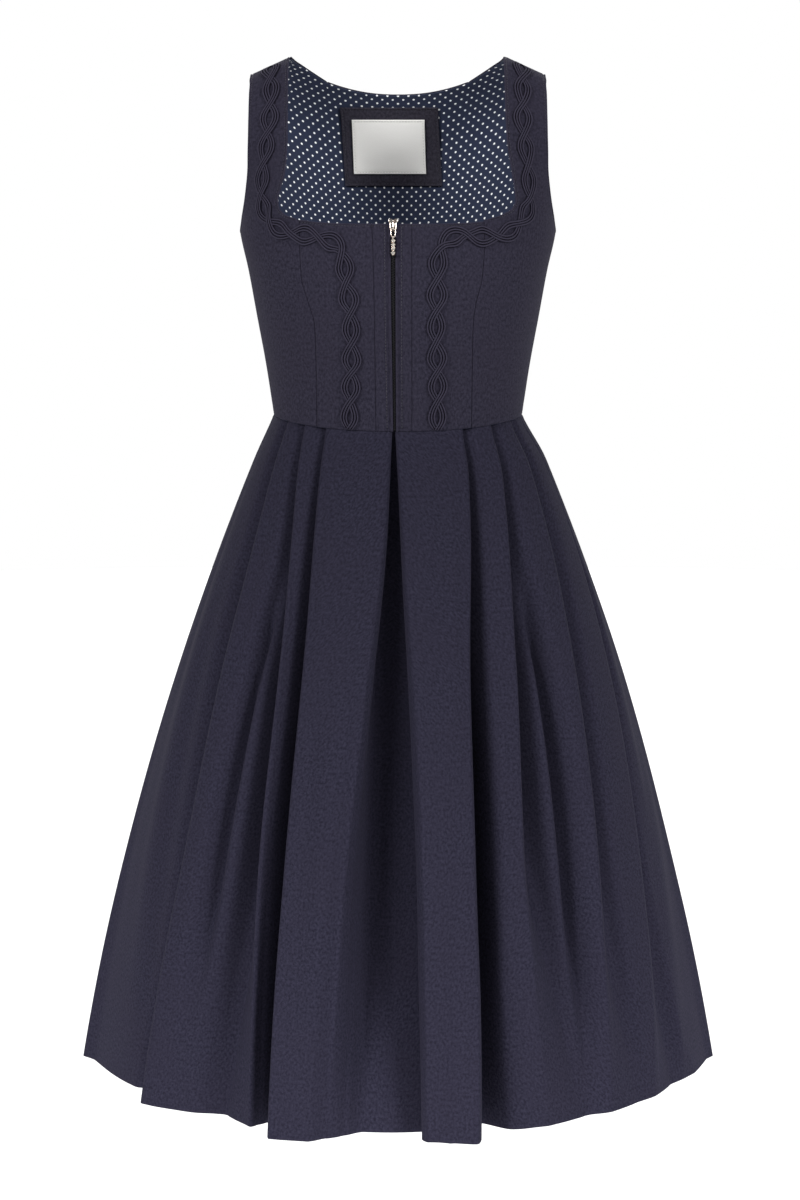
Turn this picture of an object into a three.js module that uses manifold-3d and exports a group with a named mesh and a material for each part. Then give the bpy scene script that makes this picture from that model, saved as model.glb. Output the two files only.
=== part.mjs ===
// A sleeveless dirndl, standing filled out as if worn, in millimetres.
// +Z is up, the front faces -Y and +X is the side on the right in a front view.
// The origin is midway between the two shoulder straps, on top of the shoulder seams.
import * as THREE from 'three';
import Module from 'manifold-3d';
import { mergeVertices } from 'three/addons/utils/BufferGeometryUtils.js';

// ---------- driving dimensions ----------
const CLOTH = 1.5;            // wall of the bodice cloth
const SKIRT_CLOTH = 1.7;      // wall of the skirt cloth, measured level
const LINING = 1.0;           // wall of the printed lining
const SEAM_GAP = 0.3;         // clearance between sewn pieces
const HALF_GAP = SEAM_GAP / 2;
const WAIST_Z = -363;         // waist seam at the side
const WAIST_DIP_FRONT = 8;    // the seam drops this much at the centre front
const WAIST_DIP_BACK = 4;
const HEM_Z = -1054;
const BODICE_POWER = 2.3;     // squareness of the bodice section
const SHOULDER_X = 110;       // inner end of the shoulder seam
const SHOULDER_RUN = 40;      // length over which the shoulder falls
const BRAID_WIDTH = 22;
const BRAID_THICK = 2.2;
const ZIP_TAPE_HALF = 13;
const SLIDER_W = 9.4, SLIDER_H = 12.5, SLIDER_T = 1.8;

const rad = (d) => (d * Math.PI) / 180;
const clamp = (v, a, b) => Math.min(b, Math.max(a, v));

// smooth curve through a table, xs rising
function curve(xs, ys) {
  const n = xs.length;
  const m = xs.map((_, k) =>
    k === 0 ? (ys[1] - ys[0]) / (xs[1] - xs[0])
      : k === n - 1 ? (ys[k] - ys[k - 1]) / (xs[k] - xs[k - 1])
        : (ys[k + 1] - ys[k - 1]) / (xs[k + 1] - xs[k - 1]));
  return (t) => {
    if (t <= xs[0]) return ys[0] + (t - xs[0]) * m[0];
    if (t >= xs[n - 1]) return ys[n - 1] + (t - xs[n - 1]) * m[n - 1];
    let i = 0;
    while (i < n - 2 && t > xs[i + 1]) i++;
    const h = xs[i + 1] - xs[i], s = (t - xs[i]) / h, s2 = s * s, s3 = s2 * s;
    return (2 * s3 - 3 * s2 + 1) * ys[i] + (s3 - 2 * s2 + s) * h * m[i]
      + (3 * s2 - 2 * s3) * ys[i + 1] + (s3 - s2) * h * m[i + 1];
  };
}
function line(xs, ys) {
  return (t) => {
    const n = xs.length;
    if (t <= xs[0]) return ys[0];
    if (t >= xs[n - 1]) return ys[n - 1];
    let i = 0;
    while (t > xs[i + 1]) i++;
    return ys[i] + (ys[i + 1] - ys[i]) * (t - xs[i]) / (xs[i + 1] - xs[i]);
  };
}
const column = (rows, name) => rows.map((r) => r[name]);
const table = (rows, key, name, fn = curve) => fn(column(rows, key), column(rows, name));

// ---------- bodice sections ----------
// run: distance down the cloth from the shoulder seam; z: height; drop: fall of the
// shoulder towards the arm; half: half width; depth: distance of the cloth from x axis plane
const FRONT_SECTIONS = [
  { run: 0, z: 0, drop: 18, half: 200, depth: 0 },
  { run: 12, z: -2, drop: 18, half: 200, depth: 13.5 },
  { run: 27, z: -8, drop: 17, half: 200, depth: 28 },
  { run: 47, z: -22, drop: 15, half: 195, depth: 45.5 },
  { run: 69, z: -40, drop: 12, half: 188, depth: 60 },
  { run: 102, z: -70, drop: 8, half: 175, depth: 79 },
  { run: 134, z: -100, drop: 5, half: 165, depth: 95 },
  { run: 166, z: -130, drop: 2, half: 163, depth: 105 },
  { run: 199, z: -160, drop: 0, half: 161, depth: 113 },
  { run: 217, z: -178, drop: 0, half: 161, depth: 119 },
  { run: 254, z: -215, drop: 0, half: 153, depth: 128 },
  { run: 299, z: -260, drop: 0, half: 145, depth: 126 },
  { run: 349, z: -310, drop: 0, half: 136, depth: 113 },
  { run: 389, z: -350, drop: 0, half: 130, depth: 101 },
  { run: 402, z: -363, drop: 0, half: 128, depth: 97 },
];
const BACK_SECTIONS = [
  { run: 0, z: 0, drop: 18, half: 200, depth: 0 },
  { run: 17, z: -3, drop: 18, half: 198, depth: 20 },
  { run: 34, z: -10, drop: 17, half: 195, depth: 38 },
  { run: 54, z: -22, drop: 15, half: 190, depth: 56 },
  { run: 76, z: -38.5, drop: 12, half: 184, depth: 73 },
  { run: 100, z: -60, drop: 8, half: 177, depth: 86 },
  { run: 139, z: -100, drop: 5, half: 167, depth: 96 },
  { run: 189, z: -150, drop: 1, half: 162, depth: 100 },
  { run: 217, z: -178, drop: 0, half: 161, depth: 101 },
  { run: 254, z: -215, drop: 0, half: 153, depth: 101 },
  { run: 299, z: -260, drop: 0, half: 145, depth: 98 },
  { run: 349, z: -310, drop: 0, half: 136, depth: 95 },
  { run: 389, z: -350, drop: 0, half: 130, depth: 93 },
  { run: 402, z: -363, drop: 0, half: 128, depth: 92 },
];
function bodice(sections, back) {
  const z = table(sections, 'run', 'z'), drop = table(sections, 'run', 'drop');
  const half = table(sections, 'run', 'half'), depth = table(sections, 'run', 'depth');
  const e = 2 / BODICE_POWER, sy = back ? 1 : -1;
  const dip = back ? WAIST_DIP_BACK : WAIST_DIP_FRONT;
  const low = (phi, run) => dip * Math.cos(phi) ** 2 * clamp((run - 299) / 103, 0, 1) ** 2;
  const at = (phi, run) => {
    const s = Math.sin(phi), c = Math.max(0, Math.cos(phi)), a = half(run);
    const x = a * Math.sign(s) * Math.abs(s) ** e;
    const d = Math.max(0, drop(run));
    return new THREE.Vector3(x, sy * Math.max(0, depth(run)) * c ** e,
      z(run) - d * Math.max(0, (Math.abs(x) - SHOULDER_X) / SHOULDER_RUN) - low(phi, run));
  };
  const normal = (phi, run) => {
    const w = 0.012, p0 = clamp(phi - w, -Math.PI / 2, Math.PI / 2), p1 = clamp(phi + w, -Math.PI / 2, Math.PI / 2);
    const tp = at(p1, run).sub(at(p0, run));
    const over = at(phi, Math.abs(run - 3));           // across the shoulder seam the cloth is mirrored
    if (run < 3) over.y *= -1;
    const tr = at(phi, run + 3).sub(over);
    const n = back ? tp.cross(tr) : tr.cross(tp);
    return n.normalize();
  };
  const point = (phi, run, out) => at(phi, run).addScaledVector(normal(phi, run), out);
  const phiOf = (x, run) => {
    const u = Math.min(1, Math.abs(x) / half(run));
    return Math.sign(x) * Math.asin(u ** (BODICE_POWER / 2));
  };
  return { at, normal, point, phiOf, half };
}
const FRONT = bodice(FRONT_SECTIONS, false);
const BACK = bodice(BACK_SECTIONS, true);

// ---------- lines drawn on the front, distance from the centre, each side ----------
// Inner edge of strap, neckline corner, then the princess seam down to the waist.
const FRONT_INNER = [
  { run: 0, left: 110.2, right: 106.8 }, { run: 57, left: 110.5, right: 107.2 },
  { run: 111, left: 110.3, right: 108.7 }, { run: 146, left: 112.6, right: 113.5 },
  { run: 164, left: 117, right: 116.4 }, { run: 178, left: 120.0, right: 117.6 },
  { run: 187, left: 118.4, right: 114 }, { run: 194, left: 112.5, right: 103 },
  { run: 199, left: 97.6, right: 85.6 }, { run: 219, left: 97.9, right: 86.2 },
  { run: 254, left: 96.2, right: 84 }, { run: 282, left: 88.6, right: 77.4 },
  { run: 299, left: 83.6, right: 75.2 }, { run: 324, left: 82.2, right: 74.6 },
  { run: 402, left: 81.8, right: 74.3 },
];
// Outer edge of strap and the armhole down to the side seam.
const ARMHOLE = [
  { run: 0, front: 150, back: 150 }, { run: 69, front: 150.5, back: 149 },
  { run: 102, front: 151, back: 148 }, { run: 134, front: 151.6, back: 147.5 },
  { run: 166, front: 153.8, back: 149.5 }, { run: 187, front: 156.6, back: 153 },
  { run: 199, front: 158.6, back: 156 }, { run: 209, front: 160.2, back: 158.6 },
  { run: 217, front: 161.01, back: 161.01 },
];
const PLACKET = [
  { run: 199, left: -25.7, right: 13.8 }, { run: 258, left: -23.9, right: 13.8 },
  { run: 402, left: -22.1, right: 14.1 },
];
const ZIP_GAP = [
  { run: 199, left: -7.1, right: -2.3 }, { run: 250, left: -6.9, right: -2.5 },
  { run: 402, left: -4.7, right: -2.0 },
];
// Back neckline, then the back princess seam.
const BACK_INNER = [
  { run: 0, half: 108 }, { run: 17, half: 105 }, { run: 34, half: 95 }, { run: 46, half: 85 },
  { run: 58, half: 73 }, { run: 139, half: 80 },
  { run: 217, half: 78 }, { run: 299, half: 64 }, { run: 402, half: 56 },
];
const NECK_RUN = 199, NECK_FRONT_DIP = 3, BACK_NECK_RUN = 58, BACK_NECK_DIP = 17;
// Route of the braid on the front; x from the centre and run from the shoulder
const BRAID_LEFT = [
  { x: -129.4, run: 4 }, { x: -127, run: 60 }, { x: -130.4, run: 110 }, { x: -135, run: 147 },
  { x: -136, run: 176 }, { x: -129, run: 200 }, { x: -113, run: 211.5 }, { x: -93, run: 213.5 },
  { x: -73, run: 217 }, { x: -58.5, run: 224.5 }, { x: -53.2, run: 238 }, { x: -51.5, run: 258 },
  { x: -47.5, run: 282 }, { x: -46, run: 320 }, { x: -46.8, run: 360 }, { x: -49.2, run: 401.6 },
];
const BRAID_RIGHT = [
  { x: 125.4, run: 4 }, { x: 125, run: 60 }, { x: 125, run: 95 }, { x: 128.5, run: 130 },
  { x: 131, run: 160 }, { x: 130.4, run: 186 }, { x: 121.5, run: 203 }, { x: 104, run: 214.5 },
  { x: 82, run: 215 }, { x: 61, run: 213 }, { x: 45.5, run: 221 }, { x: 39.8, run: 238 },
  { x: 39, run: 262 }, { x: 37.8, run: 310 }, { x: 39.5, run: 350 }, { x: 39.2, run: 401.6 },
];

// ---------- skirt folds ----------
// One row for each fold, from the centre back round by the left, the front and the right.
// way: -1 the folded edge points to the left seen from outside the front, +1 to the right, 0 no fold.
// The columns are heights from waist seam (h0) to hem (h100), in percent.
const H = [0, 0.15, 0.35, 0.6, 0.8, 1];
const FOLD = [
  { name: 'back_centre', way: 0, angle: [-180, -180, -180, -180, -180, -180] },
  { name: 'back_left_1', way: 1, angle: [-152, -154, -156, -158, -158, -159] },
  { name: 'back_left_2', way: 1, angle: [-131, -134, -136, -138, -137, -136] },
  { name: 'back_left_3', way: 1, angle: [-110, -112, -114, -116, -118, -117] },
  { name: 'side_left', way: 0, angle: [-90, -90, -90, -90, -90, -90] },
  { name: 'A', way: -1, angle: [-60, -56, -54.4, -53.6, -55.2, -57.4] },
  { name: 'B', way: -1, angle: [-45.4, -38.4, -33.8, -32.5, -32.5, -32.5] },
  { name: 'C', way: -1, angle: [-31.8, -29.2, -26.4, -25, -24.3, -23.4] },
  { name: 'mid_left', way: 0, angle: [-16, -16, -15.5, -15.5, -15.5, -15.5] },
  { name: 'pleat_left', way: 1, angle: [-1.9, -3.5, -6.3, -8.6, -9.2, -9.4] },
  { name: 'centre', way: 0, angle: [-1.2, -1.2, -1.2, -1, -1, -1] },
  { name: 'pleat_right', way: -1, angle: [-0.5, 0.9, 2.8, 4.1, 4.3, 4.4] },
  { name: 'mid_right', way: 0, angle: [14, 13, 12, 10.5, 9.5, 9] },
  { name: 'D', way: 1, angle: [27.8, 24.4, 19.4, 17, 16, 15.2] },
  { name: 'E', way: 1, angle: [45.4, 39.2, 33.2, 30, 31.6, 33.5] },
  { name: 'F', way: 1, angle: [62.8, 59.4, 54, 50, 48.8, 49] },
  { name: 'G', way: 1, angle: [78, 80, 72.8, 66.5, 64.8, 63.5] },
  { name: 'side_right', way: 0, angle: [90, 90, 90, 90, 90, 90] },
  { name: 'back_right_3', way: -1, angle: [109, 111, 114, 117, 117, 119] },
  { name: 'back_right_2', way: -1, angle: [130, 133, 136, 137, 139, 138] },
  { name: 'back_right_1', way: -1, angle: [151, 153, 156, 157, 159, 160] },
];
// deep: inset of the cloth that lies under the fold; edge: inset of the folded edge;
// lap: how far the under layer reaches in behind the edge; open: 1 folded, 0 fallen open
const LAY = {
  back_centre: { edge: [1, 1, 1, 2, 4, 6] },
  back_left_1: { deep: [8, 20, 38, 50, 54, 54], edge: [1, 1, 2, 3, 4, 6], lap: [12, 20, 24, 24, 22, 20], open: [1, 1, 1, 1, 0.9, 0.8] },
  back_left_2: { deep: [8, 17, 29, 40, 42, 38], edge: [1, 1, 3, 6, 12, 20], lap: [12, 18, 20, 18, 16, 14], open: [1, 1, 1, 0.7, 0.4, 0.2] },
  back_left_3: { deep: [8, 14, 28, 40, 48, 50], edge: [1, 1, 3, 5, 8, 10], lap: [11, 16, 20, 20, 20, 18], open: [1, 1, 1, 1, 0.8, 0.6] },
  side_left: { edge: [1, 1, 1, 0, -1, -1] },
  A: { deep: [8, 12, 20, 32, 44, 56], edge: [1, 1, 2, 6, 10, 15], lap: [11, 14, 18, 20, 22, 20], open: [1, 1, 1, 1, 0.9, 0.6] },
  B: { deep: [8, 20, 36, 46, 48, 46], edge: [1, 1, 3, 8, 16, 26], lap: [11, 13, 16, 14, 12, 12], open: [1, 1, 1, 0.75, 0.3, 0.05] },
  C: { deep: [8, 22, 43, 65, 78, 84], edge: [1, 1, 1, 0, 0, 0], lap: [13, 17, 20, 22, 22, 20], open: [1, 1, 1, 1, 1, 1] },
  mid_left: { edge: [1, 0, -1, -1, 0, 3] },
  pleat_left: { deep: [8, 26, 48, 66, 66, 40], edge: [1, 2, 4, 8, 12, 16], lap: [14, 18, 16, 14, 14, 14], open: [1, 1, 0.75, 0.5, 0.4, 0.3] },
  centre: { edge: [8, 26, 49, 68, 68, 40] },
  pleat_right: { deep: [8, 26, 49, 68, 70, 42], edge: [1, 1, 2, 4, 7, 10], lap: [14, 18, 20, 18, 18, 16], open: [1, 1, 1, 1, 1, 1] },
  mid_right: { edge: [1, 0, -1, -1, 0, 4] },
  D: { deep: [8, 26, 48, 66, 70, 60], edge: [1, 1, 1, 0, -1, -2], lap: [13, 17, 20, 22, 22, 20], open: [1, 1, 1, 1, 1, 0.8] },
  E: { deep: [8, 22, 39, 45, 40, 34], edge: [1, 1, 4, 10, 18, 27], lap: [12, 14, 16, 14, 12, 12], open: [1, 1, 1, 0.6, 0.2, 0] },
  F: { deep: [8, 12, 18, 25, 30, 30], edge: [1, 1, 3, 10, 19, 28], lap: [11, 14, 16, 15, 13, 12], open: [1, 1, 1, 0.95, 0.5, 0.1] },
  G: { deep: [8, 10, 15, 22, 28, 30], edge: [1, 1, 2, 7, 16, 27], lap: [9, 11, 14, 15, 14, 12], open: [1, 1, 1, 0.95, 0.6, 0.05] },
  side_right: { edge: [1, 1, 1, 0, -1, -1] },
  back_right_3: { deep: [8, 14, 28, 38, 46, 48], edge: [1, 1, 3, 5, 8, 12], lap: [11, 16, 20, 20, 20, 18], open: [1, 1, 1, 1, 0.8, 0.6] },
  back_right_2: { deep: [8, 17, 29, 40, 44, 40], edge: [1, 1, 3, 7, 14, 22], lap: [12, 18, 20, 18, 16, 14], open: [1, 1, 1, 0.7, 0.5, 0.2] },
  back_right_1: { deep: [8, 20, 38, 50, 52, 54], edge: [1, 1, 2, 3, 5, 6], lap: [12, 20, 24, 24, 22, 20], open: [1, 1, 1, 1, 0.9, 0.8] },
};
// how wide the valley stands open beside each fold, in mm, before the cloth comes up again
const SLOT = {
  A: [3, 6, 9, 12, 16, 20],
  B: [4, 7, 11, 13, 14, 14],
  C: [4, 6, 12, 24, 30, 26],
  D: [4, 9, 17, 20, 18, 18],
  E: [4, 8, 14, 14, 12, 10],
  F: [3, 5, 7, 8, 8, 8],
  G: [2, 3, 4, 5, 5, 5],
};
const SKIRT_TOP = { half: 128, front: 97, back: 92 };
const SKIRT_HEM = { half: 336, front: 287, back: 284 };
const LEVELS = [0, 0.06, 0.16, 0.3, 0.46, 0.64, 0.82, 1];

const smooth = (t) => { const q = clamp(t, 0, 1); return q * q * (3 - 2 * q); };
const flare = (h) => h + 0.43 * h * (1 - h);
function envelope(deg, h, inset) {
  const p = rad(deg), s = Math.sin(p), c = Math.cos(p), w = flare(h);
  const e = 2 / (2 + 0.3 * Math.max(0, 1 - h / 0.3) ** 2);
  const side = c > 0 ? 'front' : 'back';
  // the right hip stands out a little more than the left
  const hip = (s > 0 ? 6 : 1.5) * smooth(h / 0.02) * (1 - smooth((h - 0.3) / 0.45));
  const a = SKIRT_TOP.half + (SKIRT_HEM.half - SKIRT_TOP.half) * w + hip - inset;
  const b = SKIRT_TOP[side] + (SKIRT_HEM[side] - SKIRT_TOP[side]) * w - inset;
  const dip = (c > 0 ? WAIST_DIP_FRONT : WAIST_DIP_BACK) * c * c;
  return new THREE.Vector3(
    a * Math.sign(s) * Math.abs(s) ** e, -b * Math.sign(c) * Math.abs(c) ** e,
    (WAIST_Z - dip) * (1 - h) + HEM_Z * h - SEAM_GAP * (1 - h));
}
const mmPerDegree = (deg, h) => envelope(deg + 0.5, h, 0).setZ(0).distanceTo(envelope(deg - 0.5, h, 0).setZ(0));

// stations of one fold at height h, in order of rising angle: [angle, inset]
function foldStations(row, h) {
  const lay = LAY[row.name], a = curve(H, row.angle)(h);
  const edge = curve(H, lay.edge)(h);
  if (row.way === 0) return [[a, edge]];
  const deep = curve(H, lay.deep)(h), lap = curve(H, lay.lap)(h), open = clamp(curve(H, lay.open)(h), 0, 1);
  const mid = (deep + edge) / 2, per = mmPerDegree(a, h);
  const r = Math.min(lap * 0.3, 2.6 + 7 * h);
  const spread = 4 + 6 * h;
  // from the under layer out to the folded edge; u is in mm, positive in behind the edge
  const folded = [[lap - r, deep], [lap, (deep + mid) / 2], [lap - r, mid], [r, mid], [0, (mid + edge) / 2], [r, edge]];
  const list = folded.map(([u, inset], k) => {
    const fallen = (k - 2.5) * spread;                 // runs on without turning back
    const soft = deep + (edge - deep) * (k / 5);
    return [fallen + (u - fallen) * open, soft + (inset - soft) * open];
  });
  const out = list.map(([u, inset]) => [a - row.way * u / per, inset]);
  return row.way < 0 ? out : out.reverse();
}
// The panel after row k between its two folds: the cloth stays up until it falls into the
// valley beside a folded edge, and it leaves the side seams at a corner that grows sharper
// towards the hem. Gives [how far across, how far in] for its stations; span is its width.
function across(k, h, span) {
  const row = FOLD[k], next = FOLD[(k + 1) % FOLD.length];
  const fold = next.way < 0 ? next.name : row.way > 0 ? row.name : null;
  if (fold === null || row.name === 'centre' || next.name === 'centre') {
    return [0.25, 0.5, 0.75].map((t) => [t, 0.55 * t * t * (3 - 2 * t) + 0.45 * t]);
  }
  const slot = curve(H, SLOT[fold] || [3, 6, 9, 11, 13, 14])(h), lap = curve(H, LAY[fold].lap)(h);
  const low = clamp(1 - 0.75 * lap / span, 0.3, 0.97), high = clamp(1 - (lap + slot + 8) / span, 0.02, low - 0.12);
  const corner = smooth(h / 0.9);
  const places = [high * 0.5, high, (high + low) / 2, low].map((q) => (next.way < 0 ? q : 1 - q));
  if (next.way >= 0) places.reverse();
  return places.map((t) => {
    const q = next.way < 0 ? t : 1 - t;
    let f = 0.12 * Math.min(1, q / high) + 0.88 * smooth((q - high) / (low - high));
    const soft = 0.55 * q * q * (3 - 2 * q) + 0.45 * q, open = clamp(curve(H, LAY[fold].open)(h), 0, 1);
    f = soft + (f - soft) * open;
    if (next.way >= 0) f = 1 - f;
    if (row.name.startsWith('side')) f = f * (1 - corner) + corner * Math.max(0.75 * t ** 0.5, f);
    else if (next.name.startsWith('side')) f = f * (1 - corner) + corner * Math.min(1 - 0.75 * (1 - t) ** 0.5, f);
    return [t, f];
  });
}
// the deepest troughs of the open panels: angle and height at both ends, half width and depth
const TROUGH = [
  [42.5, 42.3, 0.3, 1, 12, 34], [-42, -46.5, 0.22, 0.93, 10, 24],
];
function trough(deg, h) {
  const per = mmPerDegree(deg, h);
  let total = 0;
  for (const [a0, a1, h0, h1, wide, deep] of TROUGH) {
    const q = (h - h0) / (h1 - h0), d = (deg - a0 - (a1 - a0) * q) * per / (wide * (0.55 + 0.75 * h));
    total += deep * Math.exp(-d * d) * smooth(q * 3.2) * smooth((1 - q) * 2.6);
  }
  return total;
}
// the whole section of the skirt at one height, closed; start[k] is the place of row k in it
function section(h) {
  const list = [], start = [];
  const rows = FOLD.map((row) => foldStations(row, h));
  rows.forEach((st, k) => {
    start.push(list.length);
    list.push(...st);
    const last = st[st.length - 1], next = rows[(k + 1) % rows.length][0];
    const turn = k === rows.length - 1 ? 360 : 0;
    const wide = next[0] + turn - last[0];
    for (const [t, f] of across(k, h, Math.max(4, wide * mmPerDegree(last[0] + wide / 2, h)))) {
      const a = last[0] + wide * t, sink = trough(a, h) * Math.sin(Math.PI * t) ** 0.7;
      list.push([a, last[1] + (next[1] - last[1]) * f + sink]);
    }
  });
  const points = list.map(([a, i]) => envelope(a, h, i)), n = points.length;
  const dir = points.map((p, i) => {
    const q = points[(i + 1) % n];
    return new THREE.Vector2(q.x - p.x, q.y - p.y).normalize();
  });
  const normals = points.map((p, i) => {
    const d0 = dir[(i + n - 1) % n], d1 = dir[i];
    const m = new THREE.Vector2(d0.y + d1.y, -d0.x - d1.x);
    const len = m.length();
    if (len < 0.2) m.set(d1.y, -d1.x); else m.divideScalar(len);
    return m.multiplyScalar(Math.min(1.5, 1 / Math.max(0.3, m.x * d1.y - m.y * d1.x)));
  });
  return { points, normals, start };
}
// one piece of the section between two rows, moved sideways by out (positive is outside),
// with half the seam gap taken off each end
function stretch(sec, from, to, out) {
  const n = sec.points.length, i0 = sec.start[from];
  let i1 = sec.start[to % FOLD.length];
  if (i1 <= i0) i1 += n;
  const list = [];
  for (let i = i0; i <= i1; i++) {
    const p = sec.points[i % n], m = sec.normals[i % n];
    const q = new THREE.Vector3(p.x + m.x * out, p.y + m.y * out, p.z);
    const trim = i === i0 ? HALF_GAP : i === i1 ? -HALF_GAP : 0;
    if (trim) { const len = m.length(); q.x -= (m.y / len) * trim; q.y += (m.x / len) * trim; }
    list.push(q);
  }
  return list;
}

// ---------- closed walls ----------
function solid(outer, inner) {
  const rows = outer.length, cols = outer[0].length, pos = [], idx = [];
  for (const g of [outer, inner]) for (const r of g) for (const p of r) pos.push(p.x, p.y, p.z);
  const o = (j, i) => j * cols + i, n = (j, i) => rows * cols + j * cols + i;
  const quad = (a, b, c, d) => idx.push(a, b, c, a, c, d);
  for (let j = 0; j < rows - 1; j++) for (let i = 0; i < cols - 1; i++) {
    quad(o(j, i), o(j + 1, i), o(j + 1, i + 1), o(j, i + 1));
    quad(n(j, i), n(j, i + 1), n(j + 1, i + 1), n(j + 1, i));
  }
  for (let i = 0; i < cols - 1; i++) {
    quad(o(0, i), o(0, i + 1), n(0, i + 1), n(0, i));
    quad(o(rows - 1, i), n(rows - 1, i), n(rows - 1, i + 1), o(rows - 1, i + 1));
  }
  for (let j = 0; j < rows - 1; j++) {
    quad(o(j, 0), n(j, 0), n(j + 1, 0), o(j + 1, 0));
    quad(o(j, cols - 1), o(j + 1, cols - 1), n(j + 1, cols - 1), n(j, cols - 1));
  }
  let vol = 0;
  const v = (k) => new THREE.Vector3(pos[3 * k], pos[3 * k + 1], pos[3 * k + 2]);
  for (let t = 0; t < idx.length; t += 3) vol += v(idx[t]).dot(v(idx[t + 1]).cross(v(idx[t + 2])));
  if (vol < 0) for (let t = 0; t < idx.length; t += 3) [idx[t + 1], idx[t + 2]] = [idx[t + 2], idx[t + 1]];
  const g = new THREE.BufferGeometry();
  g.setAttribute('position', new THREE.Float32BufferAttribute(pos, 3));
  g.setIndex(idx);
  g.computeVertexNormals();
  return g;
}
// a bodice panel: levels of run, a span of angle at each, and layers out0 (outer) and out1 (inner)
function panel(surface, levels, span, cols, out0, out1, shift = (phi, run, j) => run) {
  const grid = (out) => levels.map((run, j) => {
    const [p0, p1] = span(run);
    return Array.from({ length: cols + 1 }, (_, i) => {
      const phi = p0 + (p1 - p0) * i / cols;
      return surface.point(phi, shift(phi, run, j), out);
    });
  });
  return solid(grid(out0), grid(out1));
}

const dress = new THREE.Group();
const NAVY = 0x33303e, NAVY_DARK = 0x24222c, PRINT = 0x2b2c45, WHITE = 0xe8e6e0, METAL = 0xb9b4a8;
function add(name, geometry, color, roughness = 0.9, metalness = 0) {
  const m = new THREE.Mesh(geometry, new THREE.MeshStandardMaterial({ color, roughness, metalness }));
  m.name = name;
  dress.add(m);
  return m;
}

// levels shared by every bodice piece, so that seams meet point to point
const UPPER = [HALF_GAP, 12, 27, 47, 69, 102, 134, 164, 178, 187, 194];
const LOWER = [199, 209, 217, 236, 262, 290, 320, 350, 378, 402 - HALF_GAP];
const inner = { left: table(FRONT_INNER, 'run', 'left', line), right: table(FRONT_INNER, 'run', 'right', line) };
const armFront = table(ARMHOLE, 'run', 'front', line), armBack = table(ARMHOLE, 'run', 'back', line);
const backInner = table(BACK_INNER, 'run', 'half', line);
const seamPhi = (surface, x, run, gap) => surface.phiOf(x + gap, run);

// ---------- front ----------
// below the underarm the side edge is the side seam: half the gap is kept at y = 0
function sidePhi(surface, run, xEdge) {
  const h = surface.half(run);
  if (xEdge < h - 0.01) return surface.phiOf(xEdge, run);
  return Math.PI / 2 - 0.0035;
}
for (const side of ['left', 'right']) {
  const s = side === 'left' ? -1 : 1;
  add(`front_side_${side}`, panel(FRONT, [...UPPER, ...LOWER], (run) => {
    const p0 = seamPhi(FRONT, s * (inner[side](run) + HALF_GAP), run, 0);
    return [p0, s * sidePhi(FRONT, run, armFront(run))];
  }, 4, 0, -CLOTH), NAVY);
}
// the centre pieces: their top edge dips a little between the princess seams
const plk = { left: table(PLACKET, 'run', 'left', line), right: table(PLACKET, 'run', 'right', line) };
const gap = { left: table(ZIP_GAP, 'run', 'left', line), right: table(ZIP_GAP, 'run', 'right', line) };
const neckShift = (phi, run, j) => {
  const d = NECK_FRONT_DIP * Math.max(0, 1 - (Math.abs(phi) / rad(33)) ** 4);
  return run + d * Math.max(0, 1 - (run - NECK_RUN) / 55);
};
add('front_centre_left', panel(FRONT, LOWER, (run) => [
  FRONT.phiOf(-inner.left(run) + HALF_GAP, run), FRONT.phiOf(plk.left(run) - HALF_GAP, run)], 4, 0, -CLOTH, neckShift), NAVY);
add('front_centre_right', panel(FRONT, LOWER, (run) => [
  FRONT.phiOf(plk.right(run) + HALF_GAP, run), FRONT.phiOf(inner.right(run) - HALF_GAP, run)], 4, 0, -CLOTH, neckShift), NAVY);
add('placket_left', panel(FRONT, LOWER, (run) => [
  FRONT.phiOf(plk.left(run) + HALF_GAP, run), FRONT.phiOf(gap.left(run), run)], 2, 0, -CLOTH, neckShift), NAVY);
add('placket_right', panel(FRONT, LOWER, (run) => [
  FRONT.phiOf(gap.right(run), run), FRONT.phiOf(plk.right(run) - HALF_GAP, run)], 2, 0, -CLOTH, neckShift), NAVY);
// zip: the tape behind the plackets, and the closed chain between their folded edges
const zipX = (run) => (gap.left(run) + gap.right(run)) / 2;
add('zip_tape', panel(FRONT, LOWER, (run) => [
  FRONT.phiOf(zipX(run) - ZIP_TAPE_HALF, run), FRONT.phiOf(zipX(run) + ZIP_TAPE_HALF, run)],
4, -CLOTH - 0.5, -CLOTH - 1.5, neckShift), NAVY_DARK);
add('zip_chain', panel(FRONT, [211, ...LOWER.slice(2)], (run) => [
  FRONT.phiOf(gap.left(run) + 0.45, run), FRONT.phiOf(gap.right(run) - 0.45, run)],
2, -0.3, -CLOTH - 0.1, neckShift), 0x16151a, 0.5);

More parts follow.
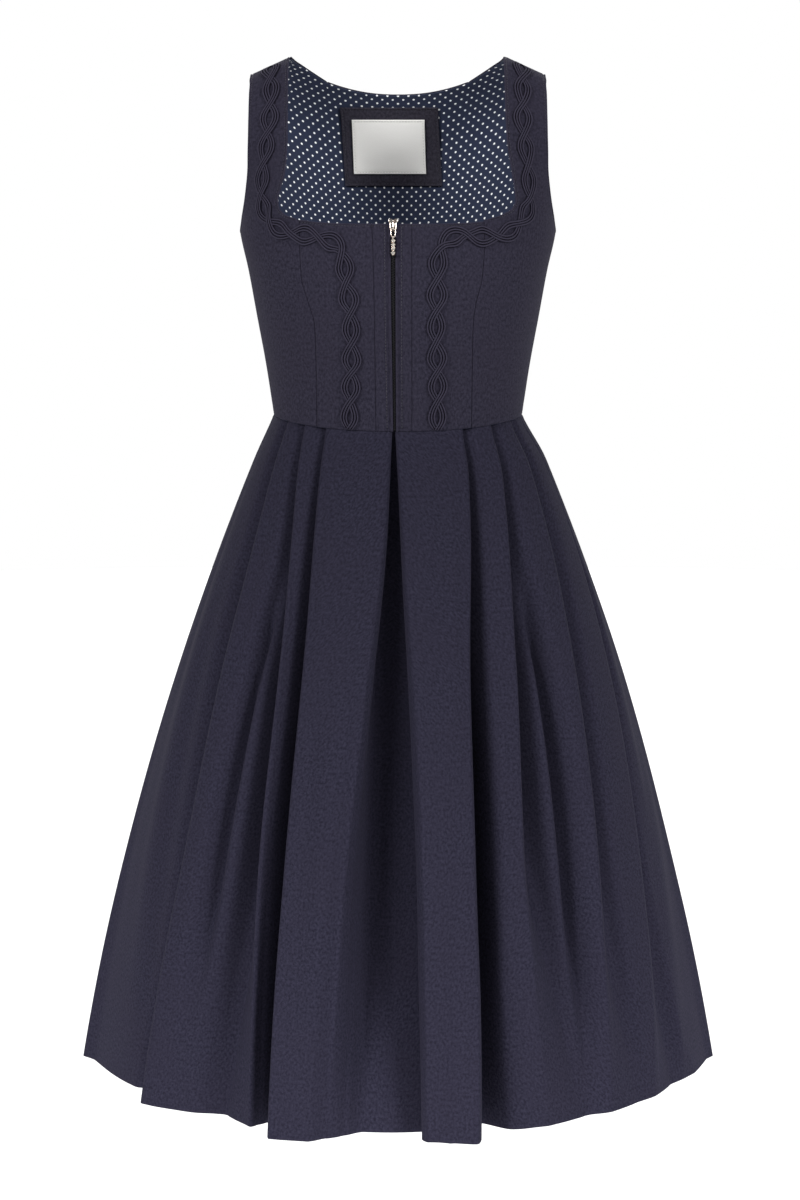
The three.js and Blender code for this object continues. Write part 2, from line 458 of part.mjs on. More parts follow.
// ---------- back ----------
const BACK_UPPER = [HALF_GAP, 17, 34, 46];
const BACK_LOWER = [BACK_NECK_RUN, 72, 86, 105, 134, 164, 187, 199, 209, 217, 236, 262, 290, 320, 350, 378, 402 - HALF_GAP];
const backShift = (phi, run) => {
  const d = BACK_NECK_DIP * Math.max(0, 1 - (Math.abs(phi) / rad(19.4)) ** 2);
  return run + d * Math.max(0, 1 - (run - BACK_NECK_RUN) / 60);
};
function backPieces(prefix, colour, out0, out1) {
  add(`${prefix}_centre`, panel(BACK, BACK_LOWER, (run) => [
    BACK.phiOf(-backInner(run) + HALF_GAP, run), BACK.phiOf(backInner(run) - HALF_GAP, run)], 6, out0, out1, backShift), colour);
  for (const side of ['left', 'right']) {
    const s = side === 'left' ? -1 : 1;
    add(`${prefix}_side_${side}`, panel(BACK, [...BACK_UPPER, ...BACK_LOWER], (run) => [
      BACK.phiOf(s * (backInner(run) + HALF_GAP), run), s * sidePhi(BACK, run, armBack(run))], 4, out0, out1), colour);
  }
}
backPieces('back', NAVY, 0, -CLOTH);
backPieces('back_lining', PRINT, -CLOTH - 0.5, -CLOTH - 0.5 - LINING);

// label patch and bare label on the lining at the centre back, seen through the neck
function patch(x0, x1, run0, run1, out0, out1, tilt, cols, rows) {
  const runs = Array.from({ length: rows + 1 }, (_, j) => run0 + (run1 - run0) * j / rows);
  return panel(BACK, runs, (run) => {
    const lean = tilt * (run - run0) / (run1 - run0);
    return [BACK.phiOf(x0 + lean, run), BACK.phiOf(x1 + lean, run)];
  }, cols, out0, out1);
}
const INSIDE = -CLOTH - 0.5 - LINING;
add('label_patch', patch(-61, 42, 88.5, 172, INSIDE - 0.8, INSIDE - 1.8, 5, 5, 4), NAVY);
add('label', patch(-49, 28, 102, 159, INSIDE - 2.8, INSIDE - 3.8, 2, 5, 3), WHITE);

// ---------- braid ----------
function braid(rows) {
  const pts = rows.map((r) => new THREE.Vector3(r.x, r.run, 0));
  const path = new THREE.CatmullRomCurve3(pts, false, 'centripetal');
  const steps = 34, across = 3;
  const grid = (out) => {
    const list = [];
    for (let j = 0; j <= steps; j++) {
      const t = j / steps, p = path.getPointAt(t), d = path.getTangentAt(t);
      const n = new THREE.Vector2(-d.y, d.x).normalize();
      list.push(Array.from({ length: across + 1 }, (_, i) => {
        const k = (i / across - 0.5) * BRAID_WIDTH;
        const run = clamp(p.y + n.y * k, 0.4, 401.4), x = p.x + n.x * k;
        return FRONT.point(FRONT.phiOf(x, run), run, out);
      }));
    }
    return list;
  };
  return solid(grid(0.6 + BRAID_THICK), grid(0.6));
}
add('braid_left', braid(BRAID_LEFT), NAVY_DARK, 0.7);
add('braid_right', braid(BRAID_RIGHT), NAVY_DARK, 0.7);

// ---------- skirt ----------
const index = (name) => FOLD.findIndex((f) => f.name === name);
function skirtPiece(name, from, to) {
  const grid = (out) => LEVELS.map((h) => stretch(section(h), from, to, out));
  add(name, solid(grid(SKIRT_CLOTH / 2), grid(-SKIRT_CLOTH / 2)), NAVY);
}
skirtPiece('skirt_front_left', index('side_left'), index('centre'));
skirtPiece('skirt_front_right', index('centre'), index('side_right'));
skirtPiece('skirt_back', index('side_right'), index('side_left'));

// ---------- zip slider and pull ----------
const wasm = await Module();
wasm.setup();
function toManifold(geometry) {
  const g = geometry.clone();
  g.deleteAttribute('normal');
  if (g.attributes.uv) g.deleteAttribute('uv');
  const m = mergeVertices(g, 1e-4);
  return new wasm.Manifold(new wasm.Mesh({
    numProp: 3, vertProperties: Float32Array.from(m.attributes.position.array), triVerts: Uint32Array.from(m.index.array),
  }));
}
function fromManifold(man) {
  const mesh = man.getMesh(), g = new THREE.BufferGeometry();
  g.setAttribute('position', new THREE.BufferAttribute(Float32Array.from(mesh.vertProperties), 3));
  g.setIndex(new THREE.BufferAttribute(Uint32Array.from(mesh.triVerts), 1));
  g.computeVertexNormals();
  return g;
}
const placed = (g, x, y, z, rx = 0, ry = 0, rz = 0) => {
  g.applyMatrix4(new THREE.Matrix4().compose(new THREE.Vector3(x, y, z),
    new THREE.Quaternion().setFromEuler(new THREE.Euler(rx, ry, rz)), new THREE.Vector3(1, 1, 1)));
  return g;
};
// local frame of the hardware: x across, z up along the cloth, -y away from the cloth,
// origin on the cloth under the middle of the slider
const SLIDER_RUN = 204;
const seat = FRONT.at(FRONT.phiOf(zipX(SLIDER_RUN), SLIDER_RUN), SLIDER_RUN);
const below = FRONT.at(FRONT.phiOf(zipX(SLIDER_RUN + 34), SLIDER_RUN + 34), SLIDER_RUN + 34);
const lean = Math.atan2(below.y - seat.y, -(below.z - seat.z));   // negative: the cloth comes forward going down
const hardware = new THREE.Group();
hardware.position.set(seat.x, seat.y, seat.z);
hardware.rotation.set(lean, 0, 0);
dress.add(hardware);
function hard(name, geometry, color, roughness, metalness) {
  const m = new THREE.Mesh(geometry, new THREE.MeshStandardMaterial({ color, roughness, metalness }));
  m.name = name;
  hardware.add(m);
}
// slider: shield plate, standing 1 mm off the cloth, with a bridge that holds the ring
const PLATE_Y = -1.0, BRIDGE_RISE = 3.4, BRIDGE_W = 2.2, PIVOT_Z = -3.4;
const PIVOT_Y = PLATE_Y - SLIDER_T - 1.35;
{
  const s = new THREE.Shape();
  const w = SLIDER_W / 2, t = SLIDER_H / 2;
  s.moveTo(-w * 0.55, -t); s.lineTo(w * 0.55, -t); s.lineTo(w * 0.8, -t * 0.5);
  s.lineTo(w, t * 0.35); s.lineTo(w * 0.92, t * 0.8); s.lineTo(w * 0.6, t);
  s.lineTo(-w * 0.6, t); s.lineTo(-w * 0.92, t * 0.8); s.lineTo(-w, t * 0.35);
  s.lineTo(-w * 0.8, -t * 0.5); s.closePath();
  const plate = placed(new THREE.ExtrudeGeometry(s, { depth: SLIDER_T, bevelEnabled: false }), 0, PLATE_Y, 0, Math.PI / 2);
  // bridge: a hook in the y-z plane, standing on the plate at its top; its lower lip ends
  // SEAM_GAP above the plate, which keeps the ring in
  const b = new THREE.Shape();
  const face = -(PLATE_Y - SLIDER_T), y0 = face - 0.8, y1 = face + BRIDGE_RISE;
  b.moveTo(y0, 4.6); b.lineTo(y1 - 1.2, 4.6); b.lineTo(y1, 3.2); b.lineTo(y1, -5.4);
  b.lineTo(face + SEAM_GAP, -5.4); b.lineTo(face + SEAM_GAP, -4.5); b.lineTo(y1 - 1, -4.5);
  b.lineTo(y1 - 1, 0.4); b.lineTo(y0, 0.4); b.closePath();
  // shape x is the height off the cloth, shape y is z; extruded along x
  const arch = new THREE.ExtrudeGeometry(b, { depth: BRIDGE_W, bevelEnabled: false });
  arch.applyMatrix4(new THREE.Matrix4().set(0, 0, -1, BRIDGE_W / 2, -1, 0, 0, 0, 0, 1, 0, 0, 0, 0, 0, 1));
  const both = toManifold(plate).add(toManifold(arch));
  hard('zip_slider', fromManifold(both), METAL, 0.3, 1);
}
// a flat ring of wire: outline with a hole, extruded, then stood in place
function ring(w, h, wire, thick, x, y, z, rx) {
  const oval = (cls, ww, hh) => {
    const p = new cls(), r = ww / 2, k = hh / 2 - r;
    for (let i = 0; i <= 15; i++) {
      const a = (i / 16) * Math.PI * 2, px = Math.cos(a) * r, py = Math.sin(a) * r + (Math.sin(a) >= -1e-9 ? k : -k);
      if (i === 0) p.moveTo(px, py); else p.lineTo(px, py);
    }
    p.closePath();
    return p;
  };
  const s = oval(THREE.Shape, w, h);
  s.holes.push(oval(THREE.Path, w - 2 * wire, h - 2 * wire));
  const g = new THREE.ExtrudeGeometry(s, { depth: thick, bevelEnabled: false });
  g.translate(0, 0, -thick / 2);
  return placed(g, x, y, z, rx);
}
// ring through the bridge; its upper bar lies on the pivot axis
const RING_W = 5.6, RING_H = 10.6, RING_WIRE = 1.1;
const ringZ = PIVOT_Z - RING_H / 2 + RING_WIRE / 2;
hard('pull_ring', ring(RING_W, RING_H, RING_WIRE, 1.1, 0, PIVOT_Y, ringZ, Math.PI / 2), METAL, 0.3, 1);
// pendant: an eye round the lower bar of the ring, and a bar with four set stones
const LOW_Z = PIVOT_Z - RING_H + RING_WIRE;      // axis of the second hinge
const PEND_W = 4.2, PEND_L = 17, PEND_T = 1.3, STONE_R = 1.75;
{
  // the eye turns in the y-z plane, as wide as fits inside the ring
  const eye = new THREE.Shape();
  const R = 1.75, r = 0.95;
  for (let i = 0; i < 16; i++) {
    const a = (i / 16) * Math.PI * 2;
    if (i === 0) eye.moveTo(R, 0); else eye.lineTo(Math.cos(a) * R, Math.sin(a) * R);
  }
  eye.closePath();
  const bore = new THREE.Path();
  for (let i = 0; i < 12; i++) {
    const a = (i / 12) * Math.PI * 2;
    if (i === 0) bore.moveTo(r, 0); else bore.lineTo(Math.cos(a) * r, Math.sin(a) * r);
  }
  bore.closePath();
  eye.holes.push(bore);
  const eg = new THREE.ExtrudeGeometry(eye, { depth: 1.6, bevelEnabled: false });
  eg.applyMatrix4(new THREE.Matrix4().set(0, 0, 1, -0.8, 1, 0, 0, PIVOT_Y, 0, 1, 0, LOW_Z, 0, 0, 0, 1));
  const bar = new THREE.Shape();
  const w = PEND_W / 2, top = LOW_Z - 1.5, bot = top - PEND_L, c = 1.2;
  bar.moveTo(-w + c, bot); bar.lineTo(w - c, bot); bar.lineTo(w, bot + c); bar.lineTo(w, top - c);
  bar.lineTo(w - c, top); bar.lineTo(-w + c, top); bar.lineTo(-w, top - c); bar.lineTo(-w, bot + c); bar.closePath();
  const bg = placed(new THREE.ExtrudeGeometry(bar, { depth: PEND_T, bevelEnabled: false }), 0, PIVOT_Y + PEND_T / 2, 0, Math.PI / 2);
  hard('pull_pendant', fromManifold(toManifold(bg).add(toManifold(eg))), METAL, 0.3, 1);
  for (let k = 0; k < 4; k++) {
    const stone = new THREE.CylinderGeometry(STONE_R, STONE_R * 0.62, 1.0, 12);
    placed(stone, 0, PIVOT_Y - PEND_T / 2 - 0.3 - 0.5, top - 2.3 - k * 4.1);
    hard(`pull_stone_${k + 1}`, stone, 0xdfe6ee, 0.05, 0);
  }
}

export default dress;
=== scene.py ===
"""Looks of a sleeveless dirndl, filled out as worn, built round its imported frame.

Sizes are in millimetres until a mesh is made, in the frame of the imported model:
+Z up, the front faces -Y, the origin on top of the shoulder seams.
"""

import math

import bpy
import numpy as np
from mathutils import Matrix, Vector


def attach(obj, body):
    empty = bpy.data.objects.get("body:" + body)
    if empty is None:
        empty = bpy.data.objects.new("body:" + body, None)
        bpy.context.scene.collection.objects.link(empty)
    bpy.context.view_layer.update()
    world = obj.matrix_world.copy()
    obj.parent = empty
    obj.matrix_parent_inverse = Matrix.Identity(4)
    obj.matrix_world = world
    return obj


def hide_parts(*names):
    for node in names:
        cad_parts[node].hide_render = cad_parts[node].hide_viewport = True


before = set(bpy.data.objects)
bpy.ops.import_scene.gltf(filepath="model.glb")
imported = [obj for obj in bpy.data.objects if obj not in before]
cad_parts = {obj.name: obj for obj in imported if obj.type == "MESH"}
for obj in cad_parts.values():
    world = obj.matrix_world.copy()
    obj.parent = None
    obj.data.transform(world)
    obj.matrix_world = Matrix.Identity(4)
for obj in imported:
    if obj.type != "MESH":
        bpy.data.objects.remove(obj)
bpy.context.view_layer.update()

# ---------------------------------------------------------------- sizes and tables
CLOTH = 1.5
SKIRT_CLOTH = 1.4
HALF_GAP = 0.15
SEAM = -0.16       # the visible pieces meet at their seams
WAIST_Z, HEM_Z = -363.0, -1054.0
DIP_FRONT, DIP_BACK = 8.0, 4.0
POWER = 2.3
NECK_RUN, NECK_FRONT_DIP = 199.0, 3.0
BACK_NECK_RUN, BACK_NECK_DIP = 58.0, 17.0
BRAID_WIDTH = 19.0
LINING_OUT = -2.0
LINING_THICK = 1.0

# run down the cloth from the shoulder, height, fall to the arm, half width, depth
FRONT_SECTIONS = [
    (0, 0, 18, 200, 0), (12, -2, 18, 200, 13.5), (27, -8, 17, 200, 28), (47, -22, 15, 195, 45.5),
    (69, -40, 12, 188, 60), (102, -70, 8, 175, 79), (134, -100, 5, 165, 95), (166, -130, 2, 163, 105),
    (199, -160, 0, 161, 113), (217, -178, 0, 161, 119), (254, -215, 0, 153, 128), (299, -260, 0, 145, 126),
    (349, -310, 0, 136, 113), (389, -350, 0, 130, 101), (402, -363, 0, 128, 97),
]
BACK_SECTIONS = [
    (0, 0, 18, 200, 0), (17, -3, 18, 198, 20), (34, -10, 17, 195, 38), (54, -22, 15, 190, 56),
    (76, -38.5, 12, 184, 73), (100, -60, 8, 177, 86), (139, -100, 5, 167, 96), (189, -150, 1, 162, 100),
    (217, -178, 0, 161, 101), (254, -215, 0, 153, 101), (299, -260, 0, 145, 98), (349, -310, 0, 136, 95),
    (389, -350, 0, 130, 93), (402, -363, 0, 128, 92),
]
# inner edge of the strap down to the neck corner: run, left, right
NECK_EDGE = [
    (0, 110.2, 106.8), (57, 110.5, 107.2), (111, 110.3, 108.7), (146, 112.6, 113.5), (164, 117, 116.4),
    (178, 120.0, 117.6), (187, 118.4, 114), (194, 112.5, 103), (199, 97.6, 85.6),
]
# princess seam from the neck corner to the waist: run, left, right
PRINCESS = [
    (199, 97.6, 85.6), (219, 97.9, 86.2), (254, 96.2, 84), (282, 88.6, 77.4), (299, 83.6, 75.2),
    (324, 82.2, 74.6), (402, 81.8, 74.3),
]
# outer edge of the strap and the armhole: run, front, back
ARMHOLE = [
    (0, 150, 150), (69, 150.5, 149), (102, 151, 148), (134, 151.6, 147.5), (166, 153.8, 149.5),
    (187, 156.6, 153), (199, 158.6, 156), (209, 160.2, 158.6), (217, 161.01, 161.01),
]
PLACKET = [(199, -25.7, 13.8), (258, -23.9, 13.8), (402, -22.1, 14.1)]
ZIP_GAP = [(199, -7.1, -2.3), (250, -6.9, -2.5), (402, -4.7, -2.0)]
BACK_NECK = [(0, 108), (17, 105), (34, 95), (46, 85), (58, 73)]
BACK_SEAM = [(58, 73), (139, 80), (217, 78), (299, 64), (402, 56)]
BRAID_LEFT = [
    (-129.4, 4), (-127, 60), (-130.4, 110), (-135, 147), (-136, 176), (-129, 200), (-113, 211.5), (-93, 213.5),
    (-73, 217), (-58.5, 224.5), (-53.2, 238), (-51.5, 258), (-47.5, 282), (-46, 320), (-46.8, 360), (-49.2, 401.6),
]
BRAID_RIGHT = [
    (125.4, 4), (125, 60), (125, 95), (128.5, 130), (131, 160), (130.4, 186), (121.5, 203), (104, 214.5),
    (82, 215), (61, 213), (45.5, 221), (39.8, 238), (39, 262), (37.8, 310), (39.5, 350), (39.2, 401.6),
]
# the skirt's folds, from the centre back round by the left: name, which way the folded edge
# points (0 no fold), and its angle at the heights H from waist to hem
H = [0, 0.15, 0.35, 0.6, 0.8, 1]
FOLDS = [
    ("back_centre", 0, [-180, -180, -180, -180, -180, -180]),
    ("back_left_1", 1, [-152, -154, -156, -158, -158, -159]),
    ("back_left_2", 1, [-131, -134, -136, -138, -137, -136]),
    ("back_left_3", 1, [-110, -112, -114, -116, -118, -117]),
    ("side_left", 0, [-90, -90, -90, -90, -90, -90]),
    ("A", -1, [-60, -56, -54.4, -53.6, -55.2, -57.4]),
    ("B", -1, [-45.4, -38.4, -33.8, -32.5, -32.5, -32.5]),
    ("C", -1, [-31.8, -29.2, -26.4, -25.0, -24.3, -23.4]),
    ("mid_left", 0, [-16, -16, -15.5, -15.5, -15.5, -15.5]),
    ("pleat_left", 1, [-1.9, -3.5, -6.3, -8.6, -9.2, -9.4]),
    ("centre", 0, [-1.2, -1.2, -1.2, -1.0, -1.0, -1.0]),
    ("pleat_right", -1, [-0.5, 0.9, 2.8, 4.1, 4.3, 4.4]),
    ("mid_right", 0, [14, 13, 12, 10.5, 9.5, 9]),
    ("D", 1, [27.8, 24.4, 19.4, 17.0, 16.0, 15.2]),
    ("E", 1, [45.4, 39.2, 33.2, 30.0, 31.6, 33.5]),
    ("F", 1, [62.8, 59.4, 54, 50, 48.8, 49]),
    ("G", 1, [78, 80, 72.8, 66.5, 64.8, 63.5]),
    ("side_right", 0, [90, 90, 90, 90, 90, 90]),
    ("back_right_3", -1, [109, 111, 114, 117, 117, 119]),
    ("back_right_2", -1, [130, 133, 136, 137, 139, 138]),
    ("back_right_1", -1, [151, 153, 156, 157, 159, 160]),
]
# how each fold lies: inset of the under layer, of the folded edge, reach of the under layer
# behind the edge, and 1 folded to 0 fallen open
LAY = {
    "back_centre": dict(edge=[1, 1, 1, 2, 4, 6]),
    "back_left_1": dict(deep=[8, 20, 38, 50, 54, 54], edge=[1, 1, 2, 3, 4, 6], lap=[12, 20, 24, 24, 22, 20], open=[1, 1, 1, 1, 0.9, 0.8]),
    "back_left_2": dict(deep=[8, 17, 29, 40, 42, 38], edge=[1, 1, 3, 6, 12, 20], lap=[12, 18, 20, 18, 16, 14], open=[1, 1, 1, 0.7, 0.4, 0.2]),
    "back_left_3": dict(deep=[8, 14, 28, 40, 48, 50], edge=[1, 1, 3, 5, 8, 10], lap=[11, 16, 20, 20, 20, 18], open=[1, 1, 1, 1, 0.8, 0.6]),
    "side_left": dict(edge=[1, 1, 1, 0, -1, -1]),
    "A": dict(deep=[8, 12, 20, 32, 44, 56], edge=[1, 1, 2, 6, 10, 15], lap=[11, 14, 18, 20, 22, 20], open=[1, 1, 1, 1, 0.9, 0.6]),
    "B": dict(deep=[8, 20, 36, 46, 48, 46], edge=[1, 1, 3, 8, 16, 26], lap=[11, 13, 16, 14, 12, 12], open=[1, 1, 1, 0.75, 0.3, 0.05]),
    "C": dict(deep=[8, 22, 43, 65, 78, 84], edge=[1, 1, 1, 0, 0, 0], lap=[13, 17, 20, 22, 22, 20], open=[1, 1, 1, 1, 1, 1]),
    "mid_left": dict(edge=[1, 0, -1, -1, 0, 3]),
    "pleat_left": dict(deep=[8, 26, 48, 66, 66, 40], edge=[1, 2, 4, 8, 12, 16], lap=[14, 18, 16, 14, 14, 14], open=[1, 1, 0.75, 0.5, 0.4, 0.3]),
    "centre": dict(edge=[8, 26, 49, 68, 68, 40]),
    "pleat_right": dict(deep=[8, 26, 49, 68, 70, 42], edge=[1, 1, 2, 4, 7, 10], lap=[14, 18, 20, 18, 18, 16], open=[1, 1, 1, 1, 1, 1]),
    "mid_right": dict(edge=[1, 0, -1, -1, 0, 4]),
    "D": dict(deep=[8, 26, 48, 66, 70, 60], edge=[1, 1, 1, 0, -1, -2], lap=[13, 17, 20, 22, 22, 20], open=[1, 1, 1, 1, 1, 0.8]),
    "E": dict(deep=[8, 22, 39, 45, 40, 34], edge=[1, 1, 4, 10, 18, 27], lap=[12, 14, 16, 14, 12, 12], open=[1, 1, 1, 0.6, 0.2, 0]),
    "F": dict(deep=[8, 12, 18, 25, 30, 30], edge=[1, 1, 3, 10, 19, 28], lap=[11, 14, 16, 15, 13, 12], open=[1, 1, 1, 0.95, 0.5, 0.1]),
    "G": dict(deep=[8, 10, 15, 22, 28, 30], edge=[1, 1, 2, 7, 16, 27], lap=[9, 11, 14, 15, 14, 12], open=[1, 1, 1, 0.95, 0.6, 0.05]),
    "side_right": dict(edge=[1, 1, 1, 0, -1, -1]),
    "back_right_3": dict(deep=[8, 14, 28, 38, 46, 48], edge=[1, 1, 3, 5, 8, 12], lap=[11, 16, 20, 20, 20, 18], open=[1, 1, 1, 1, 0.8, 0.6]),
    "back_right_2": dict(deep=[8, 17, 29, 40, 44, 40], edge=[1, 1, 3, 7, 14, 22], lap=[12, 18, 20, 18, 16, 14], open=[1, 1, 1, 0.7, 0.5, 0.2]),
    "back_right_1": dict(deep=[8, 20, 38, 50, 52, 54], edge=[1, 1, 2, 3, 5, 6], lap=[12, 20, 24, 24, 22, 20], open=[1, 1, 1, 1, 0.9, 0.8]),
}
# how wide the valley stands open beside each fold, in mm, before the cloth comes up again
SLOT = {
    "A": [3, 6, 9, 12, 16, 20], "B": [4, 7, 11, 13, 14, 14], "C": [4, 6, 12, 24, 30, 26],
    "D": [4, 9, 17, 20, 18, 18], "E": [4, 8, 14, 14, 12, 10], "F": [3, 5, 7, 8, 8, 8], "G": [2, 3, 4, 5, 5, 5],
}
# how strongly a pale line is painted along each folded edge, at the same heights: partly press shine, partly a painted
# highlight where the pressed edge catches the light
EDGE_HIGHLIGHT = {
    "A": [0.5, 0.2, 0.15, 0.3, 0.9, 0.8], "B": [0.8, 0.7, 0.5, 0.25, 0.1, 0], "C": [0.8, 0.8, 0.6, 0.5, 0.4, 0.3],
    "pleat_left": [0.6, 0.3, 0.05, 0, 0, 0], "pleat_right": [1, 1, 1, 0.8, 0.7, 0.6], "D": [0.9, 0.9, 0.9, 0.9, 0.9, 0.7],
    "E": [0.8, 0.6, 0.5, 0.6, 0.2, 0], "F": [1, 1, 1, 1, 0.5, 0], "G": [1, 1, 1, 1, 1, 0.9],
}
TOP_HALF, TOP_FRONT, TOP_BACK = 128.0, 97.0, 92.0
HEM_HALF, HEM_FRONT, HEM_BACK = 336.0, 287.0, 284.0

# soft troughs (-) and ridges (+) laid on the skirt's open panels: angle where it
# starts and ends, height where it starts and ends, half width in mm, depth in mm
SKIRT_CREASES = [
    (43.5, 42.3, 0.14, 1.0, 12, -34.0), (-41.0, -46.5, 0.12, 0.93, 10, -24.0), (21.5, 18.5, 0.25, 0.95, 6, -6.0),
    (-82, -80, 0.02, 0.55, 9, -2.2), (-74, -70, 0.10, 0.95, 16, 2.6), (-66, -61, 0.25, 1.05, 14, -3.0),
    (-52, -46, 0.05, 0.50, 7, -1.6), (-50, -42, 0.40, 1.05, 15, 3.2), (-38, -28.5, 0.10, 0.60, 6, 1.4),
    (-25, -20, 0.02, 0.45, 9, 1.2), (-21, -19, 0.30, 0.90, 14, -2.0), (-12, -12.5, 0.05, 0.70, 8, 1.0),
    (-9, -10.5, 0.35, 1.05, 12, -2.2), (6, 7, 0.04, 0.55, 8, 1.0), (11, 8, 0.30, 1.02, 10, -1.8),
    (19, 12, 0.03, 0.50, 8, 1.2), (23, 13.5, 0.45, 1.05, 8, 1.8), (34, 23, 0.05, 0.60, 8, -1.6),
    (38, 22, 0.45, 1.05, 14, 2.8), (52, 40, 0.06, 0.60, 9, 1.6), (57, 38, 0.35, 1.05, 15, -2.8),
    (70, 52, 0.04, 0.45, 8, -1.4), (84, 72, 0.06, 0.75, 12, 2.2), (86, 66, 0.45, 1.05, 18, 3.0),
    (98, 99, 0.05, 0.70, 11, 2.0), (104, 105, 0.35, 1.05, 16, -2.6), (119, 123, 0.06, 0.55, 9, 1.6),
    (124, 128, 0.40, 1.05, 16, 2.6), (140, 145, 0.05, 0.65, 9, -1.5), (144, 149, 0.40, 1.05, 15, 2.4),
    (163, 166, 0.05, 0.60, 10, 1.6), (171, 173, 0.30, 1.05, 15, -2.2), (-169, -171, 0.06, 0.70, 11, 1.8),
    (-163, -166, 0.35, 1.05, 15, -2.0), (-141, -145, 0.05, 0.55, 9, -1.6), (-144, -150, 0.45, 1.05, 16, 2.8),
    (-120, -124, 0.06, 0.65, 10, 1.8), (-124, -129, 0.40, 1.05, 15, -2.2), (-99, -100, 0.05, 0.60, 10, 1.6),
    (-104, -106, 0.35, 1.05, 17, -2.6),
]
# soft drag lines on the bodice: x and run at both ends, half width, depth; front and back
FRONT_CREASES = [
    (-124, 372, -92, 360, 5, -0.7), (-126, 352, -100, 346, 6, 0.6), (-140, 250, -108, 238, 9, 0.8),
    (-146, 228, -118, 226, 7, -0.7), (-70, 384, -34, 376, 6, -0.5), (-64, 340, -56, 300, 9, 0.5),
    (118, 374, 86, 364, 5, -0.7), (122, 350, 96, 343, 6, 0.6), (138, 252, 104, 240, 9, 0.8),
    (146, 230, 116, 227, 7, -0.7), (62, 385, 28, 378, 6, -0.5), (58, 336, 52, 296, 9, 0.5),
    (-141, 120, -138, 170, 6, 0.6), (140, 116, 138, 172, 6, 0.6), (-132, 24, -140, 60, 5, -0.4),
    (131, 26, 138, 66, 5, -0.4), (-98, 330, -112, 300, 8, 0.5), (92, 326, 108, 298, 8, 0.5),
]
BACK_CREASES = [
    (-118, 372, -74, 362, 6, -0.8), (-112, 344, -70, 336, 8, 0.8), (-44, 376, 38, 372, 7, -0.8),
    (-30, 348, 44, 344, 9, 0.7), (116, 370, 72, 360, 6, -0.8), (112, 340, 66, 334, 8, 0.8),
    (-136, 228, -96, 214, 9, -0.8), (134, 230, 98, 216, 9, -0.8), (-60, 130, -20, 124, 10, 0.6),
    (24, 122, 66, 130, 10, 0.6), (-134, 150, -110, 190, 9, 0.7), (134, 150, 112, 192, 9, 0.7),
]


# ---------------------------------------------------------------- curves
def curve(xs, ys):
    """Smooth curve through a table, running on straight past its ends."""
    xs, ys = np.asarray(xs, float), np.asarray(ys, float)
    m = np.empty_like(ys)
    m[0], m[-1] = (ys[1] - ys[0]) / (xs[1] - xs[0]), (ys[-1] - ys[-2]) / (xs[-1] - xs[-2])
    m[1:-1] = (ys[2:] - ys[:-2]) / (xs[2:] - xs[:-2])
    return _hermite(xs, ys, m)


def monotone(xs, ys):
    """Smooth curve through a table with no overshoot."""
    xs, ys = np.asarray(xs, float), np.asarray(ys, float)
    h, d = np.diff(xs), np.diff(ys) / np.diff(xs)
    m = np.empty_like(ys)
    m[0], m[-1] = d[0], d[-1]
    for i in range(1, len(xs) - 1):
        if d[i - 1] * d[i] <= 0:
            m[i] = 0
        else:
            a, b = 2 * h[i] + h[i - 1], h[i] + 2 * h[i - 1]
            m[i] = (a + b) / (a / d[i - 1] + b / d[i])
    return _hermite(xs, ys, m)


def _hermite(xs, ys, m):
    def f(t):
        t = np.asarray(t, float)
        i = np.clip(np.searchsorted(xs, t, side="left") - 1, 0, len(xs) - 2)
        h = xs[i + 1] - xs[i]
        s = (np.clip(t, xs[0], xs[-1]) - xs[i]) / h
        s2, s3 = s * s, s * s * s
        v = (2 * s3 - 3 * s2 + 1) * ys[i] + (s3 - 2 * s2 + s) * h * m[i]
        v = v + (3 * s2 - 2 * s3) * ys[i + 1] + (s3 - s2) * h * m[i + 1]
        return v + np.minimum(0, t - xs[0]) * m[0] + np.maximum(0, t - xs[-1]) * m[-1]

    return f


def bump(d, at, wide):
    return np.exp(-(((d - at) / wide) ** 2))


def smooth(t):
    t = np.clip(t, 0, 1)
    return t * t * (3 - 2 * t)


def unit(v):
    return v / np.maximum(np.linalg.norm(v, axis=-1, keepdims=True), 1e-9)


